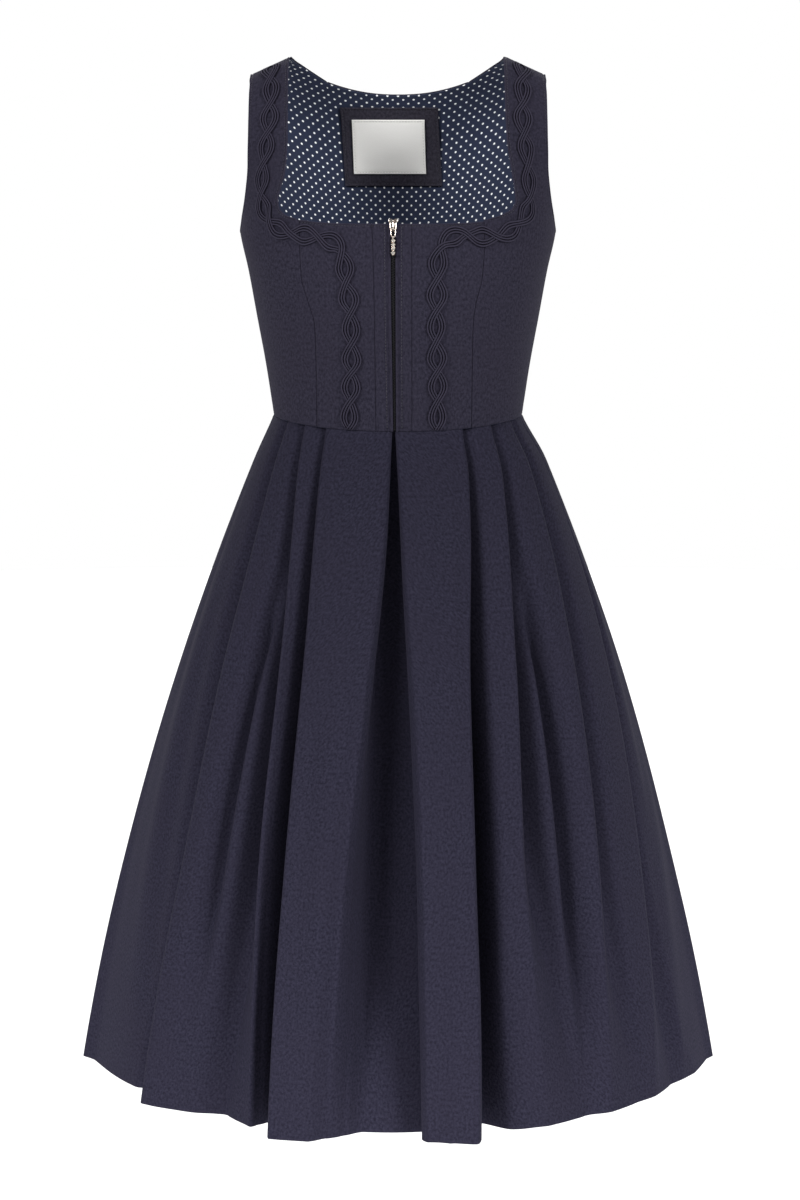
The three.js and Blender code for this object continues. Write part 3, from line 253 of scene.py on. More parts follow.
# ---------------------------------------------------------------- the bodice's surface
class Bodice:
    def __init__(self, rows, back):
        r = np.array(rows, float)
        self.z, self.drop, self.half, self.depth = (curve(r[:, 0], r[:, k]) for k in (1, 2, 3, 4))
        self.sy, self.dip = (1, DIP_BACK) if back else (-1, DIP_FRONT)
        self.back = back
        self.creases = BACK_CREASES if back else FRONT_CREASES

    def at(self, phi, run):
        phi, run = np.broadcast_arrays(np.asarray(phi, float), np.asarray(run, float))
        e = 2 / POWER
        s, c = np.sin(phi), np.maximum(0, np.cos(phi))
        x = self.half(run) * np.sign(s) * np.abs(s) ** e
        y = self.sy * np.maximum(0, self.depth(run)) * c**e
        low = self.dip * c**2 * np.clip((run - 299) / 103, 0, 1) ** 2
        z = self.z(run) - np.maximum(0, self.drop(run)) * np.maximum(0, (np.abs(x) - 110) / 40) - low
        return np.stack([x, y, z], -1)

    def normal(self, phi, run):
        phi, run = np.broadcast_arrays(np.asarray(phi, float), np.asarray(run, float))
        w = 0.012
        tp = self.at(np.minimum(phi + w, math.pi / 2), run) - self.at(np.maximum(phi - w, -math.pi / 2), run)
        over = self.at(phi, np.abs(run - 3))
        over[..., 1] = np.where(run < 3, -over[..., 1], over[..., 1])
        tr = self.at(phi, run + 3) - over
        return unit(np.cross(tp, tr) if self.back else np.cross(tr, tp))

    def point(self, phi, run, out):
        return self.at(phi, run) + self.normal(phi, run) * np.asarray(out)[..., None]

    def phi_of(self, x, run):
        u = np.minimum(1, np.abs(x) / self.half(run))
        return np.sign(x) * np.arcsin(u ** (POWER / 2))

    def on(self, x, run, out=0.0):
        """Point and outward normal at x from the centre and run down the cloth."""
        phi = self.phi_of(np.asarray(x, float), np.asarray(run, float))
        n = self.normal(phi, run)
        return self.at(phi, run) + n * np.asarray(out)[..., None], n

    def arc(self, phi, run):
        """Distance round the cloth from its centre line."""
        t = np.linspace(-math.pi / 2, math.pi / 2, 241)
        flat_phi, flat_run = phi.reshape(-1, phi.shape[-1]), run.reshape(-1, run.shape[-1])
        out = np.empty_like(flat_phi)
        for k in range(len(flat_phi)):
            p = self.at(t, np.full_like(t, flat_run[k].mean()))
            s = np.r_[0, np.cumsum(np.linalg.norm(np.diff(p, axis=0), axis=1))]
            out[k] = np.interp(flat_phi[k], t, s - np.interp(0.0, t, s))
        return out.reshape(phi.shape)

    def crease(self, p, run):
        """Height of the drag lines at points p."""
        x = p[..., 0]
        total = np.zeros_like(x)
        for x0, r0, x1, r1, wide, deep in self.creases:
            dx, dr = x1 - x0, r1 - r0
            t = np.clip(((x - x0) * dx + (run - r0) * dr) / (dx * dx + dr * dr), 0, 1)
            d2 = (x - x0 - t * dx) ** 2 + (run - r0 - t * dr) ** 2
            total += deep * np.exp(-d2 / wide**2) * (0.35 + 0.65 * np.sin(math.pi * np.clip(t, 0.05, 0.95)))
        return total


FRONT, BACK = Bodice(FRONT_SECTIONS, False), Bodice(BACK_SECTIONS, True)


def table(rows, k, fn=monotone):
    r = np.array(rows, float)
    return fn(r[:, 0], r[:, k])


neck_edge = {"left": table(NECK_EDGE, 1), "right": table(NECK_EDGE, 2)}
princess = {"left": table(PRINCESS, 1), "right": table(PRINCESS, 2)}
placket_edge = {"left": table(PLACKET, 1), "right": table(PLACKET, 2)}
zip_edge = {"left": table(ZIP_GAP, 1), "right": table(ZIP_GAP, 2)}
back_neck, back_seam = table(BACK_NECK, 1), table(BACK_SEAM, 1)


def inner_edge(side, run):
    return np.where(run < NECK_RUN, neck_edge[side](np.minimum(run, NECK_RUN)), princess[side](np.maximum(run, NECK_RUN)))


def back_edge(run):
    return np.where(run < BACK_NECK_RUN, back_neck(np.minimum(run, BACK_NECK_RUN)), back_seam(np.maximum(run, BACK_NECK_RUN)))


def arm_phi(surface, k):
    """Angle of the armhole edge, which turns into the side seam at run 217."""
    r = np.array(ARMHOLE, float)
    x = table(ARMHOLE, k)
    levels = np.array([0, 12, 27, 47, 69, 102, 134, 164, 178, 187, 194, 199, 209, 217])
    phi = surface.phi_of(x(levels), levels)
    phi[-1] = math.pi / 2 + 0.0014
    f = monotone(levels, phi)
    return lambda run: np.where(run < 217, f(np.minimum(run, 217)), math.pi / 2 + 0.0014)


arm = {"front": arm_phi(FRONT, 1), "back": arm_phi(BACK, 2)}


def neck_shift(phi, run):
    d = NECK_FRONT_DIP * np.maximum(0, 1 - (np.abs(phi) / math.radians(33)) ** 4)
    return run + d * np.maximum(0, 1 - (run - NECK_RUN) / 55)


def back_shift(phi, run):
    d = BACK_NECK_DIP * np.maximum(0, 1 - (np.abs(phi) / math.radians(19.4)) ** 2)
    return run + d * np.maximum(0, 1 - (run - BACK_NECK_RUN) / 60)


# ---------------------------------------------------------------- meshes
def make_mesh(name, verts, faces, uv=None, mats=(), face_mat=None, wear_and_highlight=None, body="dress", smooth_faces=True):
    """verts in mm, faces as an (n, 4) array of quads (a triangle repeats its last corner) or a list."""
    me = bpy.data.meshes.new(name)
    verts = np.asarray(verts, float) * 0.001
    if isinstance(faces, np.ndarray):
        n = len(faces)
        tri = faces[:, 2] == faces[:, 3]
        size = np.where(tri, 3, 4)
        start = np.r_[0, np.cumsum(size)[:-1]]
        loops = faces[~np.stack([np.zeros(n, bool)] * 3 + [tri], 1)]
        me.vertices.add(len(verts))
        me.vertices.foreach_set("co", verts.astype(np.float32).ravel())
        me.loops.add(len(loops))
        me.loops.foreach_set("vertex_index", loops.astype(np.int32))
        me.polygons.add(n)
        me.polygons.foreach_set("loop_start", start.astype(np.int32))
        me.update(calc_edges=True)
    else:
        me.from_pydata([tuple(v) for v in verts], [], faces)
        me.update()
    if uv is not None:
        layer = me.uv_layers.new(name="Cloth")
        idx = np.empty(len(me.loops), np.int32)
        me.loops.foreach_get("vertex_index", idx)
        layer.uv.foreach_set("vector", (np.asarray(uv, float)[idx] * 0.001).astype(np.float32).ravel())
    a = me.attributes.new("wear_and_highlight", "FLOAT", "POINT")
    a.data.foreach_set("value", (np.zeros(len(verts)) if wear_and_highlight is None else wear_and_highlight).astype(np.float32))
    for m in mats:
        me.materials.append(m)
    if face_mat is not None:
        me.polygons.foreach_set("material_index", np.asarray(face_mat, np.int32))
    if smooth_faces:
        me.polygons.foreach_set("use_smooth", np.ones(len(me.polygons), bool))
    me.validate()
    o = bpy.data.objects.new(name, me)
    bpy.context.scene.collection.objects.link(o)
    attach(o, body)
    return o


def grid_shell(name, outer, inner, uv, mats, wear_and_highlight=None, inner_mat=0, rim_mat=0, body="dress"):
    """Closed thin wall between two grids of points."""
    R, C = outer.shape[:2]
    v = np.concatenate([outer.reshape(-1, 3), inner.reshape(-1, 3)])
    o = np.arange(R * C).reshape(R, C)
    n = o + R * C
    q = lambda a, b, c, d: np.stack([a.ravel(), b.ravel(), c.ravel(), d.ravel()], 1)
    parts = [
        (q(o[:-1, :-1], o[1:, :-1], o[1:, 1:], o[:-1, 1:]), 0),
        (q(n[:-1, :-1], n[:-1, 1:], n[1:, 1:], n[1:, :-1]), inner_mat),
        (q(o[0, :-1], o[0, 1:], n[0, 1:], n[0, :-1]), rim_mat),
        (q(o[-1, :-1], n[-1, :-1], n[-1, 1:], o[-1, 1:]), rim_mat),
        (q(o[:-1, 0], n[:-1, 0], n[1:, 0], o[1:, 0]), rim_mat),
        (q(o[:-1, -1], o[1:, -1], n[1:, -1], n[:-1, -1]), rim_mat),
    ]
    f = np.concatenate([p for p, _ in parts])
    fm = np.concatenate([np.full(len(p), m) for p, m in parts])
    a, b, c, d = (v[f[:, k]] for k in range(4))
    vol = (a * np.cross(b, c)).sum() + (a * np.cross(c, d)).sum()
    if vol < 0:
        f = f[:, ::-1].copy()
    uv2 = np.concatenate([uv.reshape(-1, 2)] * 2)
    pr = None if wear_and_highlight is None else np.concatenate([wear_and_highlight.ravel(), wear_and_highlight.ravel() * 0])
    return make_mesh(name, v, f, uv2, mats, fm, pr, body)


def tube(points, normals, wide, high, sides=8, taper=2):
    """Vertices, quads and UV of a flat tube along points; normals point off the cloth."""
    p = np.asarray(points, float)
    n = len(p)
    t = unit(np.gradient(p, axis=0))
    b = unit(np.cross(t, normals))
    up = np.cross(b, t)
    th = np.arange(sides) * 2 * math.pi / sides
    k = np.ones(n)
    if taper:
        ends = np.minimum(np.arange(n), np.arange(n)[::-1]) / taper
        k = np.sqrt(np.clip(1 - (1 - np.clip(ends, 0, 1)) ** 2, 0.02, 1))
    wide, high = np.broadcast_to(wide, n) * k, np.broadcast_to(high, n) * k
    ring = p[:, None] + np.cos(th)[None, :, None] * (b * wide[:, None])[:, None] + np.sin(th)[None, :, None] * (up * high[:, None])[:, None]
    idx = np.arange(n * sides).reshape(n, sides)
    nxt = np.roll(idx, -1, 1)
    f = np.stack([idx[:-1].ravel(), nxt[:-1].ravel(), nxt[1:].ravel(), idx[1:].ravel()], 1)
    v = ring.reshape(-1, 3)
    s = np.r_[0, np.cumsum(np.linalg.norm(np.diff(p, axis=0), axis=1))]
    uv = np.stack(np.broadcast_arrays(s[:, None], th[None, :] * (np.mean(wide) + np.mean(high)) / 2), -1).reshape(-1, 2)
    caps = []
    for ring_idx, flip in ((idx[0], True), (idx[-1], False)):
        c = len(v)
        v = np.vstack([v, v[ring_idx].mean(0)])
        uv = np.vstack([uv, uv[ring_idx].mean(0)])
        for k2 in range(sides):
            a, bb = ring_idx[k2], ring_idx[(k2 + 1) % sides]
            caps.append((bb, a, c, c) if flip else (a, bb, c, c))
    return v, np.vstack([f, np.array(caps)]), uv


def join(parts):
    """One set of vertices, faces and UV from several."""
    vs, fs, us, k = [], [], [], 0
    for v, f, u in parts:
        vs.append(v), fs.append(f + k), us.append(u)
        k += len(v)
    return np.vstack(vs), np.vstack(fs), np.vstack(us)


def stitches(path, normals, length=2.5, gap=0.7, wide=0.3, high=0.22):
    """A row of small stitches along a path, as tube parts."""
    path, normals = np.asarray(path, float), np.asarray(normals, float)
    s = np.r_[0, np.cumsum(np.linalg.norm(np.diff(path, axis=0), axis=1))]
    parts, at = [], gap
    pick = lambda a, q: np.stack([np.interp(q, s, a[:, k]) for k in range(3)], -1)
    while at + length < s[-1]:
        q = at + length * np.array([0, 0.16, 0.5, 0.84, 1.0])
        n = unit(pick(normals, q))
        lift = np.array([-0.16, 0.08, 0.14, 0.08, -0.16])[:, None] * n
        parts.append(tube(pick(path, q) + lift, n, wide, high, sides=6, taper=1))
        at += length + gap
    return parts


# ---------------------------------------------------------------- materials
def tint(hexa):
    """Linear colour from an sRGB triple of 0 to 255."""
    c = [x / 255 for x in hexa]
    return [x / 12.92 if x <= 0.04045 else ((x + 0.055) / 1.055) ** 2.4 for x in c] + [1.0]


class Mat:
    """A small helper for node materials."""

    def __init__(self, name, **socket):
        self.m = bpy.data.materials.new(name)
        self.m.use_nodes = True
        self.t = self.m.node_tree
        self.b = self.t.nodes["Principled BSDF"]
        for k, v in socket.items():
            self.b.inputs[k.replace("_", " ")].default_value = v

    def node(self, kind, inputs=None, **props):
        n = self.t.nodes.new("ShaderNode" + kind)
        for k, v in props.items():
            setattr(n, k, v)
        for k, v in (inputs or {}).items():
            if isinstance(v, bpy.types.NodeSocket):
                self.t.links.new(v, n.inputs[k])
            else:
                n.inputs[k].default_value = v
        return n

    def math(self, op, a, b=0.0, clamp=False):
        n = self.node("Math", operation=op, use_clamp=clamp)
        for k, v in enumerate((a, b)):
            if isinstance(v, bpy.types.NodeSocket):
                self.t.links.new(v, n.inputs[k])
            else:
                n.inputs[k].default_value = v
        return n.outputs[0]

    def mix(self, fac, a, b, blend="MIX"):
        n = self.node("Mix", data_type="RGBA", blend_type=blend)
        for k, v in ((0, fac), (6, a), (7, b)):
            if isinstance(v, bpy.types.NodeSocket):
                self.t.links.new(v, n.inputs[k])
            else:
                n.inputs[k].default_value = v
        return n.outputs[2]

    def uv(self):
        n = self.node("UVMap", uv_map="Cloth")
        s = self.node("SeparateXYZ", {0: n.outputs[0]})
        return n.outputs[0], s.outputs[0], s.outputs[1]

    def noise(self, vector, scale, detail=2.0, rough=0.5, stretch=None):
        if stretch is not None:
            vector = self.node("Mapping", {"Vector": vector, "Scale": stretch}).outputs[0]
        n = self.node("TexNoise", {"Vector": vector, "Scale": scale, "Detail": detail, "Roughness": rough})
        return n.outputs[0]

    def ramp(self, fac, lo, hi):
        """0 below lo and 1 above hi."""
        n = self.node("MapRange", {"Value": fac, "From Min": lo, "From Max": hi}, clamp=True)
        return n.outputs[0]

    def threads(self, u, v, pitch, over=1.0):
        """Height of a plain weave with that pitch in metres."""
        k = 2 * math.pi / pitch
        a = self.math("SINE", self.math("MULTIPLY", u, k))
        b = self.math("SINE", self.math("MULTIPLY", v, k * over))
        return self.math("MULTIPLY", a, b)

    def bump(self, height, strength, distance, normal=None):
        i = {"Height": height, "Strength": strength, "Distance": distance}
        if normal is not None:
            i["Normal"] = normal
        return self.node("Bump", i).outputs[0]

    def link(self, value, socket):
        self.t.links.new(value, self.b.inputs[socket])
        return self


def cloth_material(name, colour, light=1.0, mottle=1.0, cord_light_and_shade=False, painted_light=0.0):
    m = Mat(name, Roughness=0.92, Sheen_Weight=0.012, Sheen_Roughness=0.5, Specular_IOR_Level=0.06)
    m.b.inputs["Sheen Tint"].default_value = (0.62, 0.6, 0.72, 1)
    uv, u, v = m.uv()
    obj = m.node("TexCoord").outputs["Object"]
    grain = m.noise(uv, 430.0, 4.0, 0.65, (1.0, 0.72, 1.0))
    slub = m.noise(uv, 240.0, 2.0, 0.55, (0.35, 2.2, 1.0))
    patch = m.noise(obj, 17.0, 3.0, 0.55)
    c = [x * light for x in colour[:3]]
    dark = [c[0] * 0.60, c[1] * 0.60, c[2] * 0.62, 1]
    pale = [c[0] * 1.45, c[1] * 1.44, c[2] * 1.40, 1]
    col = m.mix(m.ramp(grain, 0.36, 0.64), dark, pale)
    col = m.mix(m.math("MULTIPLY", m.ramp(slub, 0.5, 0.8), 0.35 * mottle), col, [c[0] * 1.5, c[1] * 1.48, c[2] * 1.45, 1])
    warm = [c[0] * 1.08, c[1] * 1.0, c[2] * 0.98, 1]
    col = m.mix(m.math("MULTIPLY", m.ramp(patch, 0.35, 0.7), 0.3), col, warm)
    # edges and cord tops marked by the attribute are painted paler: partly wear of pressed edges, partly a painted
    # highlight
    worn_and_lit = m.node("Attribute", attribute_name="wear_and_highlight").outputs["Fac"]
    col = m.mix(m.math("MULTIPLY", worn_and_lit, m.math("ADD", 0.12, m.math("MULTIPLY", grain, 0.3))), col, [c[0] * 1.75, c[1] * 1.72, c[2] * 1.65, 1])
    if painted_light:       # painted light, paler towards the hem where the skirt hangs in more light; v runs down the cloth
        g = m.math("ADD", 1 - 0.42 * painted_light, m.math("MULTIPLY", m.ramp(v, 0.05, 0.70), painted_light))
        col = m.mix(1.0, col, m.node("CombineColor", {0: g, 1: g, 2: g}).outputs[0], "MULTIPLY")
    if cord_light_and_shade:      # cords: painted highlight on their tops and painted shade on their flanks
        top = m.ramp(worn_and_lit, 0.35, 0.95)
        col = m.mix(top, [c[0] * 0.30, c[1] * 0.30, c[2] * 0.34, 1], m.mix(0.55, col, [c[0] * 2.0, c[1] * 1.95, c[2] * 1.8, 1]))
    m.link(col, "Base Color")
    m.link(m.math("ADD", 0.82, m.math("MULTIPLY", grain, 0.14)), "Roughness")
    n = m.bump(m.threads(u, v, 0.0011), 0.32, 0.00022)
    n = m.bump(grain, 0.30, 0.00045, n)
    n = m.bump(slub, 0.16, 0.0006, n)
    m.link(m.bump(patch, 0.10, 0.004, n), "Normal")
    return m.m


def lining_material():
    m = Mat("dotted_lining", Roughness=0.72, Sheen_Weight=0.04, Specular_IOR_Level=0.3)
    uv, u, v = m.uv()
    base = tint((32, 40, 63))
    thread = m.threads(u, v, 0.00062)
    grain = m.noise(uv, 900.0, 2.0, 0.5)
    col = m.mix(grain, [x * 0.8 for x in base[:3]] + [1], [x * 1.3 for x in base[:3]] + [1])
    wob = m.node("TexNoise", {"Vector": uv, "Scale": 700.0, "Detail": 1.0})
    dots = None
    for shift in (0.0, 0.5):
        cell = []
        for x, pitch in ((u, 0.0104), (v, 0.0094)):
            f = m.math("FRACT", m.math("ADD", m.math("DIVIDE", x, pitch), 100.0 + shift))
            cell.append(m.math("MULTIPLY", m.math("SUBTRACT", f, 0.5), pitch))
        d = m.math("SQRT", m.math("ADD", m.math("MULTIPLY", cell[0], cell[0]), m.math("MULTIPLY", cell[1], cell[1])))
        dots = d if dots is None else m.math("MINIMUM", dots, d)
    edge = m.math("ADD", dots, m.math("MULTIPLY", m.math("SUBTRACT", wob.outputs[0], 0.5), 0.0005))
    white = m.math("SUBTRACT", 1.0, m.ramp(edge, 0.00100, 0.00114))
    print_white = m.mix(grain, tint((238, 240, 243)), tint((252, 253, 254)))
    m.link(m.mix(white, col, print_white), "Base Color")
    m.link(m.math("SUBTRACT", 0.78, m.math("MULTIPLY", white, 0.16)), "Roughness")
    n = m.bump(thread, 0.22, 0.00012)
    n = m.bump(white, 0.25, 0.00008, n)
    soft = m.noise(uv, 45.0, 2.0, 0.5)
    m.link(m.bump(soft, 0.14, 0.003, n), "Normal")
    return m.m


def tape_material():
    m = Mat("zip_tape", Roughness=0.8, Specular_IOR_Level=0.12)
    uv, u, v = m.uv()
    ribs = m.math("SINE", m.math("MULTIPLY", u, 2 * math.pi / 0.0009))
    grain = m.noise(uv, 800.0, 2.0)
    m.link(m.mix(grain, (0.004, 0.004, 0.005, 1), (0.011, 0.0105, 0.014, 1)), "Base Color")
    m.link(m.math("ADD", 0.6, m.math("MULTIPLY", grain, 0.25)), "Roughness")
    n = m.bump(ribs, 0.4, 0.00015)
    m.link(m.bump(m.threads(u, v, 0.0006), 0.25, 0.0001, n), "Normal")
    return m.m


def nylon_material():
    m = Mat("zip_coil", Roughness=0.5, Specular_IOR_Level=0.2)
    obj = m.node("TexCoord").outputs["Object"]
    grain = m.noise(obj, 900.0, 2.0)
    m.link(m.mix(grain, (0.004, 0.004, 0.005, 1), (0.012, 0.012, 0.014, 1)), "Base Color")
    m.link(m.math("ADD", 0.3, m.math("MULTIPLY", grain, 0.25)), "Roughness")
    m.link(m.bump(grain, 0.15, 0.00005), "Normal")
    return m.m


def thread_material(name, colour):
    m = Mat(name, Roughness=0.6, Sheen_Weight=0.1)
    uv, u, v = m.uv()
    twist = m.math("SINE", m.math("ADD", m.math("MULTIPLY", u, 2 * math.pi / 0.0006), m.math("MULTIPLY", v, 9000.0)))
    c = colour[:3]
    m.link(m.mix(m.ramp(twist, -0.6, 0.9), [x * 0.7 for x in c] + [1], [x * 1.3 for x in c] + [1]), "Base Color")
    m.link(m.math("ADD", 0.6, m.math("MULTIPLY", twist, 0.08)), "Roughness")
    m.link(m.bump(twist, 0.4, 0.00008), "Normal")
    return m.m


def label_material():
    m = Mat("white_label", Roughness=0.55, Sheen_Weight=0.05, Specular_IOR_Level=0.35)
    uv, u, v = m.uv()
    grain = m.noise(uv, 1100.0, 2.0)
    ribs = m.math("SINE", m.math("MULTIPLY", v, 2 * math.pi / 0.00075))
    c = m.mix(grain, tint((236, 235, 231)), tint((250, 249, 246)))
    c = m.mix(m.math("MULTIPLY", m.ramp(ribs, -1, 1), 0.12), c, tint((222, 221, 217)))
    m.link(c, "Base Color")
    m.link(m.math("ADD", 0.48, m.math("MULTIPLY", grain, 0.2)), "Roughness")
    n = m.bump(ribs, 0.3, 0.00012)
    m.link(m.bump(m.noise(uv, 60.0), 0.15, 0.002, n), "Normal")
    return m.m


def metal_material():
    m = Mat("zip_metal", Metallic=1.0, Roughness=0.22)
    obj = m.node("TexCoord").outputs["Object"]
    # silver with patches tinted brown
    brown_patches = m.noise(obj, 380.0, 4.0, 0.6)
    line = m.noise(obj, 260.0, 3.0, 0.6, (1.0, 1.0, 0.12))
    col = m.mix(m.ramp(brown_patches, 0.42, 0.7), tint((216, 210, 202)), tint((176, 146, 126)))
    m.link(col, "Base Color")
    m.link(m.math("ADD", 0.14, m.math("MULTIPLY", line, 0.22)), "Roughness")
    m.link(m.bump(line, 0.08, 0.0001, m.bump(brown_patches, 0.1, 0.0001)), "Normal")
    return m.m


def stone_material():
    m = Mat("clear_stone", Roughness=0.04, IOR=1.62, Specular_IOR_Level=0.8, Transmission_Weight=0.72)
    obj = m.node("TexCoord").outputs["Object"]
    spark = m.noise(obj, 900.0, 2.0)
    m.link(m.mix(spark, tint((238, 234, 226)), tint((255, 252, 246))), "Base Color")
    m.link(m.math("ADD", 0.02, m.math("MULTIPLY", spark, 0.05)), "Roughness")
    m.link(m.bump(spark, 0.05, 0.00005), "Normal")
    return m.m


NAVY = [0.0194, 0.0180, 0.0300, 1.0]
navy = cloth_material("navy_cloth", NAVY)
navy_skirt = cloth_material("navy_cloth_skirt", [0.0180, 0.0171, 0.0306, 1.0], painted_light=0.40)
braid_mat = cloth_material("braid", NAVY, 1.0, cord_light_and_shade=True)
# the patch's colour is raised above the navy cloth's as painted light, making up for the shade it hangs in inside the
# back
patch_mat = cloth_material("navy_patch", [0.0330, 0.0310, 0.0440, 1.0], 0.95)
lining_mat = lining_material()
tape_mat, coil_mat = tape_material(), nylon_material()
navy_thread = thread_material("navy_thread", tint((38, 36, 48)))
white_thread = thread_material("white_thread", tint((214, 213, 208)))
label_mat, metal, stone_mat = label_material(), metal_material(), stone_material()

# ---------------------------------------------------------------- bodice pieces
EDGE = np.array([0.0, 0.10, 0.28, 0.55, 0.95, 1.45, 1.95, 2.45, 3.0, 3.8, 4.9, 6.4])


def rows_between(a, b, step=2.8, fine=None):
    lo, hi, mid = a + EDGE[-1], b - EDGE[-1], []
    r = lo
    while True:
        s = step if fine is None or not fine[0] < r < fine[1] else fine[2]
        r += s
        if r > hi - 0.5 * s:
            break
        mid.append(r)
    return np.concatenate([a + EDGE, mid, (b - EDGE)[::-1]])


def rounding(d, thick):
    q = np.clip(1 - d / (0.62 * thick), 0, 1)
    return -thick / 2 * (1 - np.sqrt(1 - q * q)) * 0.92


def feature(kind, d):
    if kind == "free":        # turned edge with a row of stitching
        return 0.42 * bump(d, 1.0, 0.8) - 0.55 * bump(d, 2.45, 0.6) + 0.10 * bump(d, 4.2, 1.2)
    if kind == "seam":        # seam with its allowances pressed open behind it
        return -0.70 * bump(d, 0, 0.62) + 0.16 * bump(d, 1.7, 0.8) + 0.14 * bump(d, 5.5, 2.6)
    if kind == "zip":         # fold along the zip, then a stitched groove
        return 0.70 * bump(d, 1.5, 0.9) - 1.05 * bump(d, 3.6, 0.55) + 0.34 * bump(d, 4.9, 0.6) - 0.95 * bump(d, 6.1, 0.5)
    return 0 * d


def cloth_panel(name, node, surface, runs, phi0, phi1, edges, shift=None, out=0.0, thick=CLOTH,
                mats=None, inner_mat=0, rim_mat=0, step=3.2, free0=None, free1=None, crease=1.0, lining=False, slot="navy_cloth"):
    """A bodice panel. edges: kinds of the first, last, top and bottom edge; free0 and free1
    are the run above which the first and last edge are turned edges and not seams."""
    t = np.linspace(0, 1, 72)
    ph = phi0[:, None] + (phi1 - phi0)[:, None] * t
    rr = np.broadcast_to(runs[:, None], ph.shape) if shift is None else shift(ph, runs[:, None])
    P = surface.at(ph, rr)
    S = np.concatenate([np.zeros((len(runs), 1)), np.cumsum(np.linalg.norm(np.diff(P, axis=1), axis=2), axis=1)], 1)
    L = S[:, -1]

    def slant(E, across):
        along = unit(np.gradient(E, runs, axis=0))
        c = (along * unit(across)).sum(1)
        k = 1 / np.clip(np.sqrt(np.maximum(0, 1 - c * c)), 0.28, 1)
        pad = np.pad(k, 2, mode="edge")
        return (pad[:-4] + pad[1:-3] + pad[2:-2] + pad[3:-1] + pad[4:]) / 5

    k0, k1 = slant(P[:, 0], P[:, 1] - P[:, 0]), slant(P[:, -1], P[:, -1] - P[:, -2])
    fit = np.minimum(1, (L * 0.46) / (EDGE[-1] * np.maximum(k0, k1)))
    left, right = EDGE * (k0 * fit)[:, None], L[:, None] - (EDGE * (k1 * fit)[:, None])[:, ::-1]
    n = max(1, int(math.ceil((L.max() - 2 * EDGE[-1]) / step)))
    u = np.linspace(0, 1, n + 2)[1:-1]
    mid = left[:, -1:] + (right[:, :1] - left[:, -1:]) * u
    s = np.concatenate([left, mid, right], 1)
    phi = np.stack([np.interp(s[j], S[j], ph[j]) for j in range(len(runs))])
    run = np.broadcast_to(runs[:, None], phi.shape) if shift is None else shift(phi, runs[:, None])
    d = [s / k0[:, None], (L[:, None] - s) / k1[:, None],
         np.broadcast_to((runs - runs[0])[:, None], phi.shape), np.broadcast_to((runs[-1] - runs)[:, None], phi.shape)]
    disp, fall = np.zeros_like(phi), np.zeros_like(phi)
    for k, (kind, dist) in enumerate(zip(edges, d)):
        free_to = (free0, free1, None, None)[k]
        if free_to is None:
            disp += feature(kind, dist)
        else:
            w = smooth((free_to + 1.5 - runs) / 3)[:, None]
            disp += w * feature("free", dist) + (1 - w) * feature(kind, dist)
        fall = np.minimum(fall, rounding(dist, thick))
    base = surface.at(phi, run)
    nrm = surface.normal(phi, run)
    soft = crease * surface.crease(base, run)
    for dist, kind in zip(d, edges):
        soft = soft * smooth(dist / 7 + 0.12)
    outer = base + nrm * (out + disp + fall + soft)[..., None]
    inner = base + nrm * (out - thick - fall + soft)[..., None]
    a = surface.arc(phi, run)
    if lining:
        uv = np.stack([a * (1 + 0.00133 * (run - 120)), run + 0.00126 * a * a], -1)
    else:
        uv = np.stack([a, run], -1)
    # turned edges are painted paler: partly wear, partly a painted highlight along them
    wear_and_highlight = np.zeros_like(phi)
    for k, (kind, dist) in enumerate(zip(edges, d)):
        free_to = (free0, free1, None, None)[k]
        w = 1.0 if kind in ("free", "zip") else 0.35
        if free_to is not None:
            w = 0.35 + 0.65 * smooth((free_to + 1.5 - runs) / 3)[:, None]
        wear_and_highlight = np.maximum(wear_and_highlight, w * bump(dist, 0.4, 1.3))
    o = grid_shell(name, outer, inner, uv, mats or [navy, lining_mat], wear_and_highlight, inner_mat, rim_mat)
    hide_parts(node)
    return o


SIDE = {"left": -1, "right": 1}
WAIST_RUN = 402.9     # the bodice ends just inside the waist seam
RUNS_SIDE = rows_between(SEAM, WAIST_RUN, 2.8, (172, 220, 1.25))
RUNS_CENTRE = rows_between(NECK_RUN, WAIST_RUN)
for side, s in SIDE.items():
    r = RUNS_SIDE
    cloth_panel(f"cloth_front_side_{side}", f"front_side_{side}", FRONT, r,
                FRONT.phi_of(s * (inner_edge(side, r) + SEAM), r), s * arm["front"](r),
                ("seam", "seam", "seam", "seam"), free0=NECK_RUN, free1=217, inner_mat=1)
r = RUNS_CENTRE
cloth_panel("cloth_front_centre_left", "front_centre_left", FRONT, r,
            FRONT.phi_of(-princess["left"](r) + SEAM, r), FRONT.phi_of(placket_edge["left"](r) - SEAM, r),
            ("seam", "seam", "free", "seam"), neck_shift, inner_mat=1)
cloth_panel("cloth_front_centre_right", "front_centre_right", FRONT, r,
            FRONT.phi_of(placket_edge["right"](r) + SEAM, r), FRONT.phi_of(princess["right"](r) - SEAM, r),
            ("seam", "seam", "free", "seam"), neck_shift, inner_mat=1)
cloth_panel("cloth_placket_left", "placket_left", FRONT, r,
            FRONT.phi_of(placket_edge["left"](r) + SEAM, r), FRONT.phi_of(zip_edge["left"](r), r),
            ("seam", "zip", "free", "seam"), neck_shift, step=1.2, crease=0.3)
cloth_panel("cloth_placket_right", "placket_right", FRONT, r,
            FRONT.phi_of(zip_edge["right"](r), r), FRONT.phi_of(placket_edge["right"](r) - SEAM, r),
            ("zip", "seam", "free", "seam"), neck_shift, step=1.0, crease=0.3)
RUNS_BACK = rows_between(SEAM, WAIST_RUN, 3.0, (44, 66, 1.25))
RUNS_BACK_CENTRE = rows_between(BACK_NECK_RUN, WAIST_RUN, 3.0)
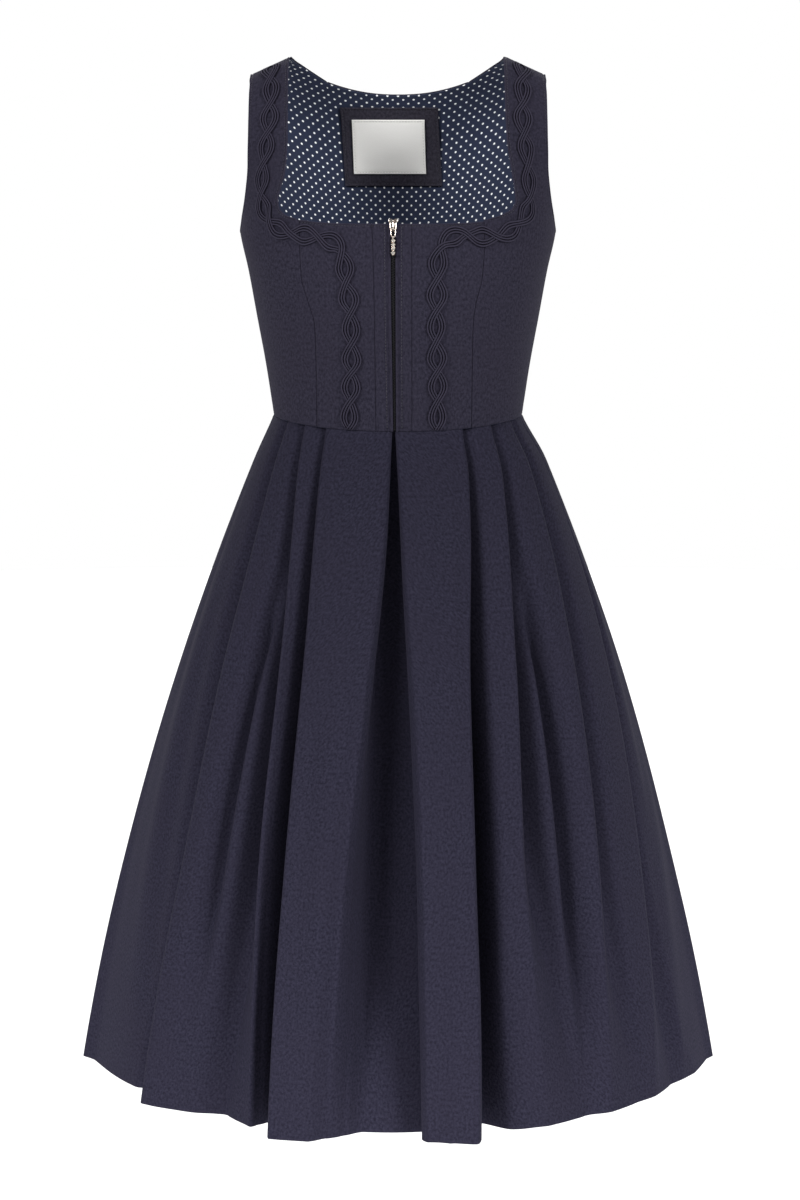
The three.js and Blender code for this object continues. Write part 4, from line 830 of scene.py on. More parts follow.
for prefix, node, out, thick, kinds, mats, inner_mat, slot in (
    ("cloth_back", "back", 0.0, CLOTH, ("seam", "free"), [navy, navy], 0, "navy_cloth"),
    ("lining_back", "back_lining", LINING_OUT, LINING_THICK, ("flat", "flat"), [lining_mat], 0, "dotted_lining"),
):
    r = RUNS_BACK_CENTRE
    edge = BACK.phi_of(back_seam(r) - SEAM, r)
    cloth_panel(f"{prefix}_centre", f"{node}_centre", BACK, r, -edge, edge,
                (kinds[0], kinds[0], kinds[1], kinds[0]), back_shift, out, thick, mats, inner_mat,
                lining=node == "back_lining", slot=slot)
    for side, s in SIDE.items():
        r = RUNS_BACK
        free = dict(free0=BACK_NECK_RUN, free1=217) if kinds[1] == "free" else {}
        cloth_panel(f"{prefix}_side_{side}", f"{node}_side_{side}", BACK, r,
                    BACK.phi_of(s * (back_edge(r) + SEAM), r), s * arm["back"](r),
                    (kinds[0],) * 4, None, out, thick, mats, inner_mat, lining=node == "back_lining", slot=slot, **free)


# the patch and the bare label, on the lining's inner face
def small_patch(name, node, x0, x1, run0, run1, out, tilt, mat, puff, flat_turn=1.0):
    runs = np.concatenate([run0 + EDGE[:9], np.linspace(run0 + EDGE[8], run1 - EDGE[8], 26)[1:-1], (run1 - EDGE[:9])[::-1]])
    xs = np.concatenate([EDGE[:9], np.linspace(EDGE[8], (x1 - x0) - EDGE[8], 32)[1:-1], ((x1 - x0) - EDGE[:9])[::-1]])
    rr, xx = np.meshgrid(runs, xs, indexing="ij")
    lean = tilt * (rr - run0) / (run1 - run0)
    phi = BACK.phi_of(x0 + xx + lean, rr)
    d = np.minimum(np.minimum(xx, (x1 - x0) - xx), np.minimum(rr - run0, run1 - rr))
    fall = rounding(d, 1.0)
    lift = 0.28 * bump(d, 1.0, 0.8) - 0.30 * bump(d, flat_turn + 1.4, 0.5)
    wave = puff * (np.sin(xx / 17 + rr / 23) * 0.5 + np.sin(xx / 9.5 - rr / 13 + 1.2) * 0.5) * smooth((d - 3) / 8)
    base, nrm = BACK.at(phi, rr), BACK.normal(phi, rr)
    outer = base + nrm * (out + fall + wave)[..., None]
    inner = base + nrm * (out - 1.0 - fall - lift + wave)[..., None]
    # the patch's edges are painted paler: partly wear, partly a painted highlight
    o = grid_shell(name, outer, inner, np.stack([xx, rr], -1), [mat], bump(d, 0.5, 1.2) * 0.6)
    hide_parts(node)
    inset = flat_turn + 1.4
    ring = []
    for a, b in (((inset, inset), (x1 - x0 - inset, inset)), ((x1 - x0 - inset, inset), (x1 - x0 - inset, run1 - run0 - inset)),
                 ((x1 - x0 - inset, run1 - run0 - inset), (inset, run1 - run0 - inset)), ((inset, run1 - run0 - inset), (inset, inset))):
        q = np.linspace(0, 1, 40)
        px, pr = a[0] + (b[0] - a[0]) * q, run0 + a[1] + (b[1] - a[1]) * q
        pts, nn = BACK.on(x0 + px + tilt * (pr - run0) / (run1 - run0), pr, out - 1.0 - 0.02)
        ring += stitches(pts, -nn, 2.3, 0.8, 0.26, 0.2)
    return ring


patch_ring = small_patch("label_patch_cloth", "label_patch", -61, 42, 88.5, 172, -3.8, 5, patch_mat, 0.16)
label_ring = small_patch("label_cloth", "label", -49, 28, 102, 159, -5.8, 2, label_mat, 0.12, 0.6)
v, f, uvs = join(patch_ring)
stitch_patch = make_mesh("stitches_patch", v, f, uvs, [navy_thread])
v, f, uvs = join(label_ring)
stitch_label = make_mesh("stitches_label", v, f, uvs, [white_thread])

# ---------------------------------------------------------------- braid
AMPLITUDE, CORD_STEP, CORD_HALF, CORD_HIGH = 6.3, 2.75, 1.12, 1.2


def braid(name, node, route):
    pts = np.array(route, float)
    seg = np.sqrt(np.maximum(1e-6, np.linalg.norm(np.diff(pts, axis=0), axis=1)))
    knot = np.r_[0, np.cumsum(seg)]
    ext = np.vstack([2 * pts[0] - pts[1], pts, 2 * pts[-1] - pts[-2]])
    kn = np.r_[-seg[0], knot, knot[-1] + seg[-1]]
    fine = []
    for i in range(1, len(pts)):
        t = np.linspace(kn[i], kn[i + 1], 24, endpoint=i == len(pts) - 1)
        P = [ext[i - 1], ext[i], ext[i + 1], ext[i + 2]]
        T = [kn[i - 1], kn[i], kn[i + 1], kn[i + 2]]
        w = lambda a, b, ta, tb: ((tb - t) / (tb - ta))[:, None] * a + ((t - ta) / (tb - ta))[:, None] * b
        a1, a2, a3 = w(P[0], P[1], T[0], T[1]), w(P[1], P[2], T[1], T[2]), w(P[2], P[3], T[2], T[3])
        b1, b2 = w(a1, a2, T[0], T[2]), w(a2, a3, T[1], T[3])
        fine.append(w(b1, b2, T[1], T[2]))
    path = np.vstack(fine)
    s = np.r_[0, np.cumsum(np.linalg.norm(np.diff(path, axis=0), axis=1))]
    # the flat route isn't true to length where the chest is steep, so measure on the cloth
    on, _ = FRONT.on(path[:, 0], path[:, 1])
    real = np.r_[0, np.cumsum(np.linalg.norm(np.diff(on, axis=0), axis=1))]
    lenses = round(real[-1] / 31.0)
    q = np.linspace(0, real[-1], int(real[-1] / 1.35))
    x, run = np.interp(q, real, path[:, 0]), np.interp(q, real, path[:, 1])
    centre, nrm = FRONT.on(x, run)
    along = unit(np.gradient(centre, axis=0))
    side = unit(np.cross(along, nrm))
    phase = math.pi * lenses * q / real[-1]
    k = q / real[-1]
    # the work is by hand, so the lenses aren't all alike
    amp = AMPLITUDE * (1 + 0.10 * np.sin(k * 37 + 1) + 0.06 * np.sin(k * 91))
    parts = []
    for g in (0, 1):
        sign = 1 if g == 0 else -1
        for c in (-1, 0, 1):
            off = sign * amp * np.sin(phase) + c * CORD_STEP
            # over at one crossing, under at the next
            crossing = np.exp(-((np.sin(phase) / 0.5) ** 2))
            which = np.floor(phase / math.pi + 0.5).astype(int) % 2
            up = np.where(which == g, 1.0, -1.0) * crossing
            up = np.convolve(np.pad(up, 4, mode="edge"), np.ones(9) / 9, "valid")
            sink = 0.25 + 0.75 * smooth(q / 13.0)      # flat where it goes over the shoulder
            high = (0.55 + 0.75 * up) * sink
            p = centre + side * off[:, None]
            # follow the cloth sideways: back onto the surface from the offset point
            xr = np.clip(run + (p - centre)[:, 2] * -1.0, 0.5, 401.5)
            p2, n2 = FRONT.on(p[:, 0], xr)
            drift = ((p - p2) * n2).sum(1)
            p = p - n2 * drift[:, None] + n2 * (high + 0.45 * sink)[:, None]
            parts.append(tube(p, n2, CORD_HALF, CORD_HIGH * sink, 8, 5))
    # the tops of the cords, where the braid material paints a highlight and leaves painted shade on the flanks
    lit_cord_tops = []
    for v, _, _ in parts:
        rings = (len(v) - 2) // 8
        lit_cord_tops.append(np.r_[np.tile(np.clip(np.sin(np.arange(8) * math.pi / 4), 0, 1), rings), 0, 0])
    v, f, uvs = join(parts)
    o = make_mesh(name, v, f, uvs, [braid_mat], wear_and_highlight=np.concatenate(lit_cord_tops))
    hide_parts(node)
    return o, real[-1]


braid_left, LEN_LEFT = braid("braid_cords_left", "braid_left", BRAID_LEFT)
braid_right, LEN_RIGHT = braid("braid_cords_right", "braid_right", BRAID_RIGHT)


# ---------------------------------------------------------------- stitching on the bodice
def line_on(surface, xs, runs, out):
    return surface.on(np.asarray(xs, float), np.asarray(runs, float), out)


rows = []
for side, s in SIDE.items():
    rr = np.linspace(204.5, 400.8, 120)
    p, n = line_on(FRONT, zip_edge[side](rr) + s * 6.1, rr, -0.22)
    rows += stitches(p, n, 2.4, 0.8)
v, f, uvs = join(rows)
stitch_zip = make_mesh("stitches_zip", v, f, uvs, [navy_thread])
rows = []
for side, s in SIDE.items():
    rr = np.linspace(2, 186, 120)
    x = neck_edge[side](rr) + 2.5
    rr2 = np.linspace(0, 1, 40)
    # round the neck corner, 2.45 mm inside the edge
    edge_r = np.linspace(186, 199, 60)
    edge_x = neck_edge[side](edge_r)
    pts = np.stack([edge_x, edge_r], 1)
    tan = unit(np.gradient(pts, axis=0))
    off = pts + np.stack([tan[:, 1], -tan[:, 0]], 1) * 2.45
    px, pr = np.r_[x[:-1], off[:, 0]], np.r_[rr[:-1], off[:, 1]]
    p, n = line_on(FRONT, s * px, pr, -0.30)
    rows += stitches(p, n, 2.2, 0.8, 0.24, 0.2)
for x0, x1 in ((-97, -9.5), (0.2, 85)):
    xs = np.linspace(x0, x1, 60)
    ph = FRONT.phi_of(xs, np.full_like(xs, 201.5))
    rr = neck_shift(ph, np.full_like(xs, NECK_RUN)) + 2.45
    p, n = line_on(FRONT, xs, rr, -0.30)
    rows += stitches(p, n, 2.2, 0.8, 0.24, 0.2)
for surface, which in ((FRONT, "front"), (BACK, "back")):
    for s in (-1, 1):
        rr = np.linspace(2, 208, 140)
        x = s * (np.abs(surface.at(arm[which](rr), rr)[:, 0]) - 2.6)
        p, n = line_on(surface, x, rr, -0.30)
        rows += stitches(p, n, 2.2, 0.8, 0.24, 0.2)
for s in (-1, 1):
    rr = np.linspace(2, 57, 60)
    p, n = line_on(BACK, s * (back_neck(rr) + 2.5), rr, -0.30)
    rows += stitches(p, n, 2.2, 0.8, 0.24, 0.2)
xs = np.linspace(-71, 71, 90)
rr = back_shift(BACK.phi_of(xs, np.full_like(xs, 60.0)), np.full_like(xs, BACK_NECK_RUN)) + 2.45
p, n = line_on(BACK, xs, rr, -0.30)
rows += stitches(p, n, 2.2, 0.8, 0.24, 0.2)
v, f, uvs = join(rows)
stitch_edges = make_mesh("stitches_edges", v, f, uvs, [navy_thread])

# ---------------------------------------------------------------- zip tape and coil
def zip_x(run):
    return (zip_edge["left"](run) + zip_edge["right"](run)) / 2


r = RUNS_CENTRE
cloth_panel("zip_tape_cloth", "zip_tape", FRONT, r, FRONT.phi_of(zip_x(r) - 13, r), FRONT.phi_of(zip_x(r) + 13, r),
            ("flat",) * 4, neck_shift, -CLOTH - 0.5, 1.0, [tape_mat], step=2.0, crease=0.0, slot="zip_tape")
parts = []
for k, run in enumerate(np.arange(211.6, 401.2, 1.25)):
    left, right = float(zip_edge["left"](run)) + 0.5, float(zip_edge["right"](run)) - 0.5
    mid = (left + right) / 2
    a, b = (left, mid + 0.45) if k % 2 == 0 else (right, mid - 0.45)
    q = np.linspace(0, 1, 5)
    lift = np.array([-1.45, -0.95, -0.85, -0.8, -1.05])
    p, n = FRONT.on(a + (b - a) * q, np.full(5, run) + np.array([0.15, 0.1, 0, -0.1, -0.12]), lift)
    parts.append(tube(p, n, 0.48, 0.42, 6, 1))
v, f, uvs = join(parts)
coil = make_mesh("zip_coil", v, f, uvs, [coil_mat])
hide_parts("zip_chain")

# ---------------------------------------------------------------- skirt
HI = np.array(H, float)


def flare(h):
    return h + 0.43 * h * (1 - h)


def envelope(deg, h, inset):
    p = np.radians(deg)
    s, c, w = np.sin(p), np.cos(p), flare(h)
    e = 2 / (2 + 0.3 * np.maximum(0, 1 - h / 0.3) ** 2)
    front = c > 0
    # the right hip stands out a little more than the left
    hip = np.where(s > 0, 6.0, 1.5) * smooth(h / 0.07) * (1 - smooth((h - 0.3) / 0.45))
    a = TOP_HALF + (HEM_HALF - TOP_HALF) * w + hip - inset
    b = np.where(front, TOP_FRONT + (HEM_FRONT - TOP_FRONT) * w, TOP_BACK + (HEM_BACK - TOP_BACK) * w) - inset
    dip = np.where(front, DIP_FRONT, DIP_BACK) * c * c
    z = (WAIST_Z - dip) * (1 - h) + HEM_Z * h - 0.3 * (1 - h)
    return np.stack([a * np.sign(s) * np.abs(s) ** e, -b * np.sign(c) * np.abs(c) ** e, z], -1)


def mm_per_degree(deg, h):
    return np.linalg.norm((envelope(deg + 0.5, h, 0.0) - envelope(deg - 0.5, h, 0.0))[..., :2], axis=-1)


SLANT = 722.0
top = np.concatenate([EDGE[:-1], [6.2, 8.5, 11.5, 15, 19.5]])
bottom = (SLANT - EDGE[:-1])[::-1]
middle = np.linspace(top[-1], bottom[0], 90)[1:-1]
HEIGHTS = np.concatenate([top, middle, bottom]) / SLANT


def fold_stations(row, h):
    name, way, angles = row
    lay = LAY[name]
    a, edge = curve(HI, angles)(h), curve(HI, lay["edge"])(h)
    if way == 0:
        return [(a, edge)]
    deep, lap = curve(HI, lay["deep"])(h), curve(HI, lay["lap"])(h)
    opened = np.clip(curve(HI, lay["open"])(h), 0, 1)
    mid, per = (deep + edge) / 2, mm_per_degree(a, h)
    r = np.minimum(lap * 0.3, 2.6 + 7 * h)
    spread = 4 + 6 * h
    zero = np.zeros_like(h)
    folded = [(lap - r, deep), (lap, (deep + mid) / 2), (lap - r, mid), (r, mid), (zero, (mid + edge) / 2), (r, edge)]
    out = []
    for k, (u, inset) in enumerate(folded):
        fallen = (k - 2.5) * spread
        soft = deep + (edge - deep) * (k / 5)
        out.append((a - way * (fallen + (u - fallen) * opened) / per, soft + (inset - soft) * opened))
    return out if way < 0 else out[::-1]


def crease_at(deg, h):
    total = np.zeros_like(deg)
    per = mm_per_degree(deg, h)
    for a0, a1, h0, h1, wide, deep in SKIRT_CREASES:
        q = (h - h0) / (h1 - h0)
        line = a0 + (a1 - a0) * q
        gap = (deg - line + 180) % 360 - 180
        d = gap * per / (wide * (0.55 + 0.75 * h))
        total += deep * np.exp(-d * d) * smooth(q * 3.2) * smooth((1.0 - q) * 2.6 if h1 <= 1 else np.ones_like(q))
    return total


PANEL_STEPS, PANEL_SUB, FOLD_SUB = 14, 2, 4


def dive(t, k, h, span):
    """How far panel k has gone from the fold on its left to the one on its right. The cloth
    stays up until it falls into the valley beside a folded edge, and it leaves the side
    seams at a corner that grows sharper towards the hem. span is its width in mm."""
    name, way, _ = FOLDS[k]
    after, nxt, _ = FOLDS[(k + 1) % len(FOLDS)]
    fold = after if nxt < 0 else name if way > 0 else None
    if fold is None or name == "centre" or after == "centre":
        return 0.55 * t * t * (3 - 2 * t) + 0.45 * t
    slot, lap = curve(HI, SLOT.get(fold, [3, 6, 9, 11, 13, 14]))(h), curve(HI, LAY[fold]["lap"])(h)
    q = t if nxt < 0 else 1 - t
    low = np.clip(1 - 0.75 * lap / span, 0.3, 0.97)
    high = np.clip(1 - (lap + slot + 8) / span, 0.02, low - 0.12)
    f = 0.12 * np.minimum(1, q / high) + 0.88 * smooth((q - high) / (low - high))
    soft = 0.55 * q * q * (3 - 2 * q) + 0.45 * q
    f = soft + (f - soft) * np.clip(curve(HI, LAY[fold]["open"])(h), 0, 1)
    f = f if nxt < 0 else 1 - f
    corner = smooth(h / 0.9)
    if name.startswith("side"):
        return f * (1 - corner) + corner * np.maximum(0.75 * t**0.5, f)
    if after.startswith("side"):
        return f * (1 - corner) + corner * np.minimum(1 - 0.75 * (1 - t) ** 0.5, f)
    return f


def skirt_ring(h):
    """Finely divided closed section at the heights h: points (rows, columns, 3), the column
    where each row of FOLDS starts, and each folded edge's column with the strength of its painted highlight."""
    stations = [fold_stations(row, h) for row in FOLDS]
    angle, inset, subs, start, edge_at = [], [], [], [], []
    for k, st in enumerate(stations):
        start.append(len(angle))
        for i, (a, d) in enumerate(st):
            angle.append(a), inset.append(d)
            subs.append(FOLD_SUB if i < len(st) - 1 else PANEL_SUB)
        if len(st) == 6:
            edge_at.append((start[-1] + (4 if FOLDS[k][1] < 0 else 1), curve(HI, EDGE_HIGHLIGHT.get(FOLDS[k][0], [0.8, 0.7, 0.5, 0.4, 0.3, 0.2]))(h)))
        last, nxt = st[-1], stations[(k + 1) % len(stations)][0]
        turn = 360 if k == len(stations) - 1 else 0
        span = np.maximum(4.0, (nxt[0] + turn - last[0]) * mm_per_degree((last[0] + nxt[0] + turn) / 2, h))
        for s in range(1, PANEL_STEPS):
            t = s / PANEL_STEPS
            a = last[0] + (nxt[0] + turn - last[0]) * t
            d = last[1] + (nxt[1] - last[1]) * dive(t, k, h, span)
            angle.append(a)
            inset.append(d - crease_at(a, h) * math.sin(math.pi * t) ** 0.7)
            subs.append(PANEL_SUB)
    P = np.stack([envelope(a, h, d) for a, d in zip(angle, inset)], 1)
    n = P.shape[1]
    cols, where = [], []
    for i in range(n):
        p0, p1, p2, p3 = (P[:, (i + k) % n] for k in (-1, 0, 1, 2))
        d = [np.maximum(0.05, np.linalg.norm(b - a, axis=-1)) ** 0.5 for a, b in ((p0, p1), (p1, p2), (p2, p3))]
        t0 = np.zeros_like(d[0])
        t1, t2 = t0 + d[0], t0 + d[0] + d[1]
        t3 = t2 + d[2]
        where.append(len(cols))
        for k in range(subs[i]):
            t = t1 + (t2 - t1) * k / subs[i]
            w = lambda a, b, ta, tb: ((tb - t) / (tb - ta))[:, None] * a + ((t - ta) / (tb - ta))[:, None] * b
            a1, a2, a3 = w(p0, p1, t0, t1), w(p1, p2, t1, t2), w(p2, p3, t2, t3)
            cols.append(w(w(a1, a2, t0, t2), w(a2, a3, t1, t3), t1, t2))
    ring = np.stack(cols, 1)
    return ring, [where[s] for s in start], [(where[e], np.clip(painted_light, 0, 1)) for e, painted_light in edge_at]


RING, RING_START, RING_EDGE = skirt_ring(HEIGHTS)
tangent = unit((np.roll(RING, -1, 1) - np.roll(RING, 1, 1)) * [1, 1, 0])
RING_NORMAL = np.stack([tangent[..., 1], -tangent[..., 0], np.zeros_like(tangent[..., 0])], -1)


def skirt_piece(name, node, first, last):
    names = [f[0] for f in FOLDS]
    n = RING.shape[1]
    i0, i1 = RING_START[names.index(first)], RING_START[names.index(last)]
    if i1 <= i0:
        i1 += n
    idx = np.arange(i0, i1 + 1) % n
    P, N = RING[:, idx], RING_NORMAL[:, idx]
    S = np.concatenate([np.zeros((len(P), 1)), np.cumsum(np.linalg.norm(np.diff(P, axis=1), axis=2), axis=1)], 1)
    L = S[:, -1:]
    # closer columns at the two seams
    a = int(np.argmax(S.min(0) > 9.0))
    b = S.shape[1] - 1 - int(np.argmax((L - S).min(0)[::-1] > 9.0))
    left = np.concatenate([np.broadcast_to(SEAM + EDGE[:-2], (len(P), len(EDGE) - 2)), (SEAM + EDGE[-3] + (S[:, a:a + 1] - SEAM - EDGE[-3]) * [[0.33, 0.66]])], 1)
    right = np.concatenate([(S[:, b:b + 1] + (L - SEAM - EDGE[-3] - S[:, b:b + 1]) * [[0.34, 0.67]]), L - SEAM - EDGE[:-2][::-1]], 1)
    s = np.concatenate([left, S[:, a:b + 1], right], 1)
    pick = lambda A: np.stack([np.stack([np.interp(s[j], S[j], A[j, :, k]) for k in range(3)], -1) for j in range(len(P))])
    P2, N2 = pick(P), unit(pick(N))
    mm = (HEIGHTS * SLANT)[:, None]
    d0, d1 = s - SEAM, L - SEAM - s
    dt, db = np.broadcast_to(mm, s.shape), np.broadcast_to(SLANT - mm, s.shape)
    T = SKIRT_CLOTH
    fall, disp = np.zeros_like(s), np.zeros_like(s)
    plain = {"side_left": (1, 0), "centre": (0, 1), "side_right": (1, 1)}[first]
    for d, on in ((d0, plain[0]), (d1, plain[1]), (dt, 1), (db, 1)):
        fall = np.minimum(fall, rounding(d, T) * (1 if on else 0.25))
    disp += plain[0] * feature("seam", d0) + plain[1] * feature("seam", d1) - 0.25 * bump(dt, 0, 0.9) + 0.20 * bump(dt, 3.2, 2.0)
    # the hem is turned up 38 mm inside: a second layer, and the faint line of its edge outside
    hem = smooth((40 - db) / 2.5) * smooth(db / 1.2 + 0.2)
    disp += -0.16 * bump(db, 39.5, 1.3) + 0.05 * hem
    # small uneven puckers under the waist seam
    pucker = 0.28 * np.sin(s / 5.3 + 2.1 * np.sin(s / 31)) * np.sin(s / 13.7 + 0.6) * smooth(dt / 3) * np.exp(-dt / 26)
    disp += pucker
    outer = P2 + N2 * (T / 2 + disp + fall)[..., None]
    inner = P2 - N2 * (T / 2 + fall + 0.7 * hem - disp * 0.5)[..., None]
    u = s + (0 if first != "side_right" else 0)
    down = np.concatenate([np.zeros((1, s.shape[1])), np.cumsum(np.linalg.norm(np.diff(P2, axis=0), axis=2), axis=0)], 0)
    uv = np.stack([u - L / 2, np.broadcast_to(mm, s.shape)], -1)
    # paler along the seams, hem and waist, partly wear and partly painted highlight; along each folded edge a painted
    # highlight where the pressed crease catches the light
    wear_and_highlight = 0.35 * (bump(d0, 0.4, 1.3) + bump(d1, 0.4, 1.3)) + 0.55 * bump(db, 0.4, 1.4) + 0.3 * bump(dt, 0.6, 1.4)
    for e, painted_light in RING_EDGE:
        k = (e - i0) % n
        if k <= i1 - i0:
            near = s - S[:, k:k + 1]
            wear_and_highlight = np.maximum(wear_and_highlight, (0.9 * np.exp(-((near / 1.1) ** 2)) + 0.22 * np.exp(-((near / 3.5) ** 2))) * painted_light[:, None])
    o = grid_shell(name, outer, inner, uv, [navy_skirt], wear_and_highlight)
    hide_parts(node)
    return o


skirt_piece("cloth_skirt_front_left", "skirt_front_left", "side_left", "centre")
skirt_piece("cloth_skirt_front_right", "skirt_front_right", "centre", "side_right")
skirt_piece("cloth_skirt_back", "skirt_back", "side_right", "side_left")

# ---------------------------------------------------------------- zip slider and pull
SLIDER_RUN = 204.0
seat = FRONT.at(FRONT.phi_of(zip_x(SLIDER_RUN), SLIDER_RUN), SLIDER_RUN)
under = FRONT.at(FRONT.phi_of(zip_x(SLIDER_RUN + 34), SLIDER_RUN + 34), SLIDER_RUN + 34)
LEAN = math.atan2(under[1] - seat[1], -(under[2] - seat[2]))
PLATE_Y, SLIDER_T, BRIDGE_RISE, PIVOT_Z = -1.0, 1.8, 3.4, -3.4
PIVOT_Y = PLATE_Y - SLIDER_T - 1.35


def place(v):
    """From the hardware's own frame, x across, z up the cloth, -y off the cloth."""
    v = np.asarray(v, float)
    c, s = math.cos(LEAN), math.sin(LEAN)
    return np.stack([v[:, 0] + seat[0], v[:, 1] * c - v[:, 2] * s + seat[1], v[:, 1] * s + v[:, 2] * c + seat[2]], 1)


def prism(outline, y0, y1, dome=0.0):
    """Closed prism of an x, z outline between two y, with softened rims and a domed front."""
    o = np.array(outline, float)
    n, c = len(o), np.array(outline, float).mean(0)
    t = unit(np.roll(o, -1, 0) - np.roll(o, 1, 0))
    inw = np.stack([-t[:, 1], t[:, 0]], 1)
    if ((c - o) * inw).sum() < 0:
        inw = -inw
    rings, r = [], 0.28
    for shrink, y in ((r, y0), (r * 0.3, y0 + (-r * 0.3 if y1 < y0 else r * 0.3)), (0, y0 + (-r if y1 < y0 else r)),
                      (0, y1 + (r if y1 < y0 else -r)), (r * 0.3, y1 + (r * 0.3 if y1 < y0 else -r * 0.3)), (r, y1)):
        rings.append(np.stack([o[:, 0] + inw[:, 0] * shrink, np.full(n, y), o[:, 1] + inw[:, 1] * shrink], 1))
    lift = dome if y1 < y0 else -dome
    for k in (0.72, 0.4):
        q = c + (o - c) * k
        rings.append(np.stack([q[:, 0], np.full(n, y1 - lift * (1 - k * k)), q[:, 1]], 1))
    v = np.vstack(rings + [np.array([[c[0], y1 - lift, c[1]], [c[0], y0, c[1]]])])
    f, m = [], len(rings)
    for j in range(m - 1):
        for i in range(n):
            a, b = j * n + i, j * n + (i + 1) % n
            f.append((a, b, b + n, a + n))
    for i in range(n):
        f.append(((m - 1) * n + i, (m - 1) * n + (i + 1) % n, m * n, m * n))
        f.append(((i + 1) % n, i, m * n + 1, m * n + 1))
    f = np.array(f)
    a, b, c3, d = (v[f[:, k]] for k in range(4))
    if (a * np.cross(b, c3)).sum() + (a * np.cross(c3, d)).sum() < 0:
        f = f[:, [1, 0, 3, 2]]
        swap = f[:, 2] != f[:, 3]
        tri = faces_tri_fix(f)
        f = tri
    return v, f, v[:, [0, 2]]


def faces_tri_fix(f):
    """Keeps a triangle's doubled corner last."""
    out = f.copy()
    same = f[:, 0] == f[:, 1]
    out[same] = f[same][:, [2, 3, 0, 0]]
    same = f[:, 2] == f[:, 3]
    out[same] = f[same][:, [0, 1, 2, 2]]
    return out


def spun(outline, centre, axis_y, sides=20):
    """Turned part: (radius, depth off the cloth) outline round an axis along y at x, z centre."""
    o = np.array(outline, float)
    th = np.arange(sides) * 2 * math.pi / sides
    v = np.concatenate([np.stack([centre[0] + r * np.cos(th), np.full(sides, axis_y - y), centre[1] + r * np.sin(th)], 1) for r, y in o])
    f = []
    for j in range(len(o) - 1):
        for i in range(sides):
            a, b = j * sides + i, j * sides + (i + 1) % sides
            f.append((a, b, b + sides, a + sides))
    k = len(v)
    v = np.vstack([v, [[centre[0], axis_y - o[0][1], centre[1]], [centre[0], axis_y - o[-1][1], centre[1]]]])
    for i in range(sides):
        f.append(((i + 1) % sides, i, k, k))
        f.append(((len(o) - 1) * sides + i, (len(o) - 1) * sides + (i + 1) % sides, k + 1, k + 1))
    return v, np.array(f), v[:, [0, 2]]


def outward(part):
    v, f, u = part
    a, b, c, d = (v[f[:, k]] for k in range(4))
    if (a * np.cross(b, c)).sum() + (a * np.cross(c, d)).sum() < 0:
        tri = f[:, 2] == f[:, 3]
        g = f[:, ::-1].copy()
        g[tri] = f[tri][:, [1, 0, 2, 2]]
        f = g
    return v, f, u


def hard(name, parts, mat, body, node, sharp=math.radians(38)):
    v, f, u = join([outward(p) for p in parts])
    o = make_mesh(name, place(v), f, u, [mat], body=body)
    o.data.set_sharp_from_angle(angle=sharp)
    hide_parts(node)
    return o


w, t = 4.7, 6.25
half_outline = [(1.9, -t), (2.9, -t * 0.86), (3.2, -t * 0.4), (3.25, 0.6), (3.35, 1.9), (3.9, 2.9), (w, 3.5), (w, 4.7), (4.2, 5.6), (3.3, t), (1.6, t), (0.9, t - 0.8)]
plate = [(x, z) for x, z in half_outline] + [(-x, z) for x, z in half_outline[::-1]]
body_plate = prism(plate, PLATE_Y, PLATE_Y - SLIDER_T, 0.25)
rail = []
for s in (-1, 1):     # raised rims down both sides of the plate
    z = np.linspace(-5.4, 3.0, 14)
    x = s * np.interp(z, [-5.4, -2.5, 0.6, 3.0], [2.2, 2.75, 2.75, 3.1])
    rail.append(tube(np.stack([x, np.full(14, PLATE_Y - SLIDER_T - 0.05), z], 1), np.tile([0, -1.0, 0], (14, 1)), 0.36, 0.36, 8, 2))
face = PLATE_Y - SLIDER_T
zb = np.array([4.3, 4.0, 3.2, 1.6, -0.8, -2.8, -4.3, -5.0, -5.05, -4.9])
yb = face - np.array([-0.5, 1.3, 2.4, 2.95, 3.0, 2.95, 2.6, 1.8, 1.1, 0.5])
s_b = np.linspace(0, 1, 28)
kn = np.linspace(0, 1, len(zb))
bridge = tube(np.stack([np.zeros(28), curve(kn, yb)(s_b), curve(kn, zb)(s_b)], 1), np.tile([0, -1.0, 0.15], (28, 1)), 1.05, 0.42, 10, 1)
slider = hard("slider", [body_plate, *rail, bridge], metal, "dress", "zip_slider")

# ring: a loop of round wire on the pivot
RING_W, RING_H, WIRE = 5.6, 10.6, 1.1
rw, rh = RING_W / 2 - WIRE / 2, RING_H / 2 - WIRE / 2
th = np.linspace(0, 2 * math.pi, 65)[:-1]
ex = np.sign(np.cos(th)) * np.abs(np.cos(th)) ** 0.8 * rw
ez = np.where(np.sin(th) > 0, 1, -1) * np.abs(np.sin(th)) ** 0.9 * rh + PIVOT_Z - rh
loop = np.stack([ex, np.full(64, PIVOT_Y), ez], 1)
tan = unit(np.roll(loop, -1, 0) - np.roll(loop, 1, 0))
bn = unit(np.cross(tan, np.tile([0, 1.0, 0], (64, 1))))
sides = 12
ph = np.arange(sides) * 2 * math.pi / sides
vv = loop[:, None] + np.cos(ph)[None, :, None] * bn[:, None] * WIRE / 2 + np.sin(ph)[None, :, None] * np.array([0, 1.0, 0]) * WIRE / 2
ii = np.arange(64 * sides).reshape(64, sides)
ff = np.stack([ii.ravel(), np.roll(ii, -1, 1).ravel(), np.roll(np.roll(ii, -1, 1), -1, 0).ravel(), np.roll(ii, -1, 0).ravel()], 1)
ring = hard("ring_wire", [(vv.reshape(-1, 3), ff, vv.reshape(-1, 3)[:, [0, 2]])], metal, "ring", "pull_ring")

LOW_Z = PIVOT_Z - RING_H + WIRE
PEND_W, PEND_L, PEND_T, STONE_R = 4.2, 17.0, 1.3, 1.75
top_z = LOW_Z - 1.5
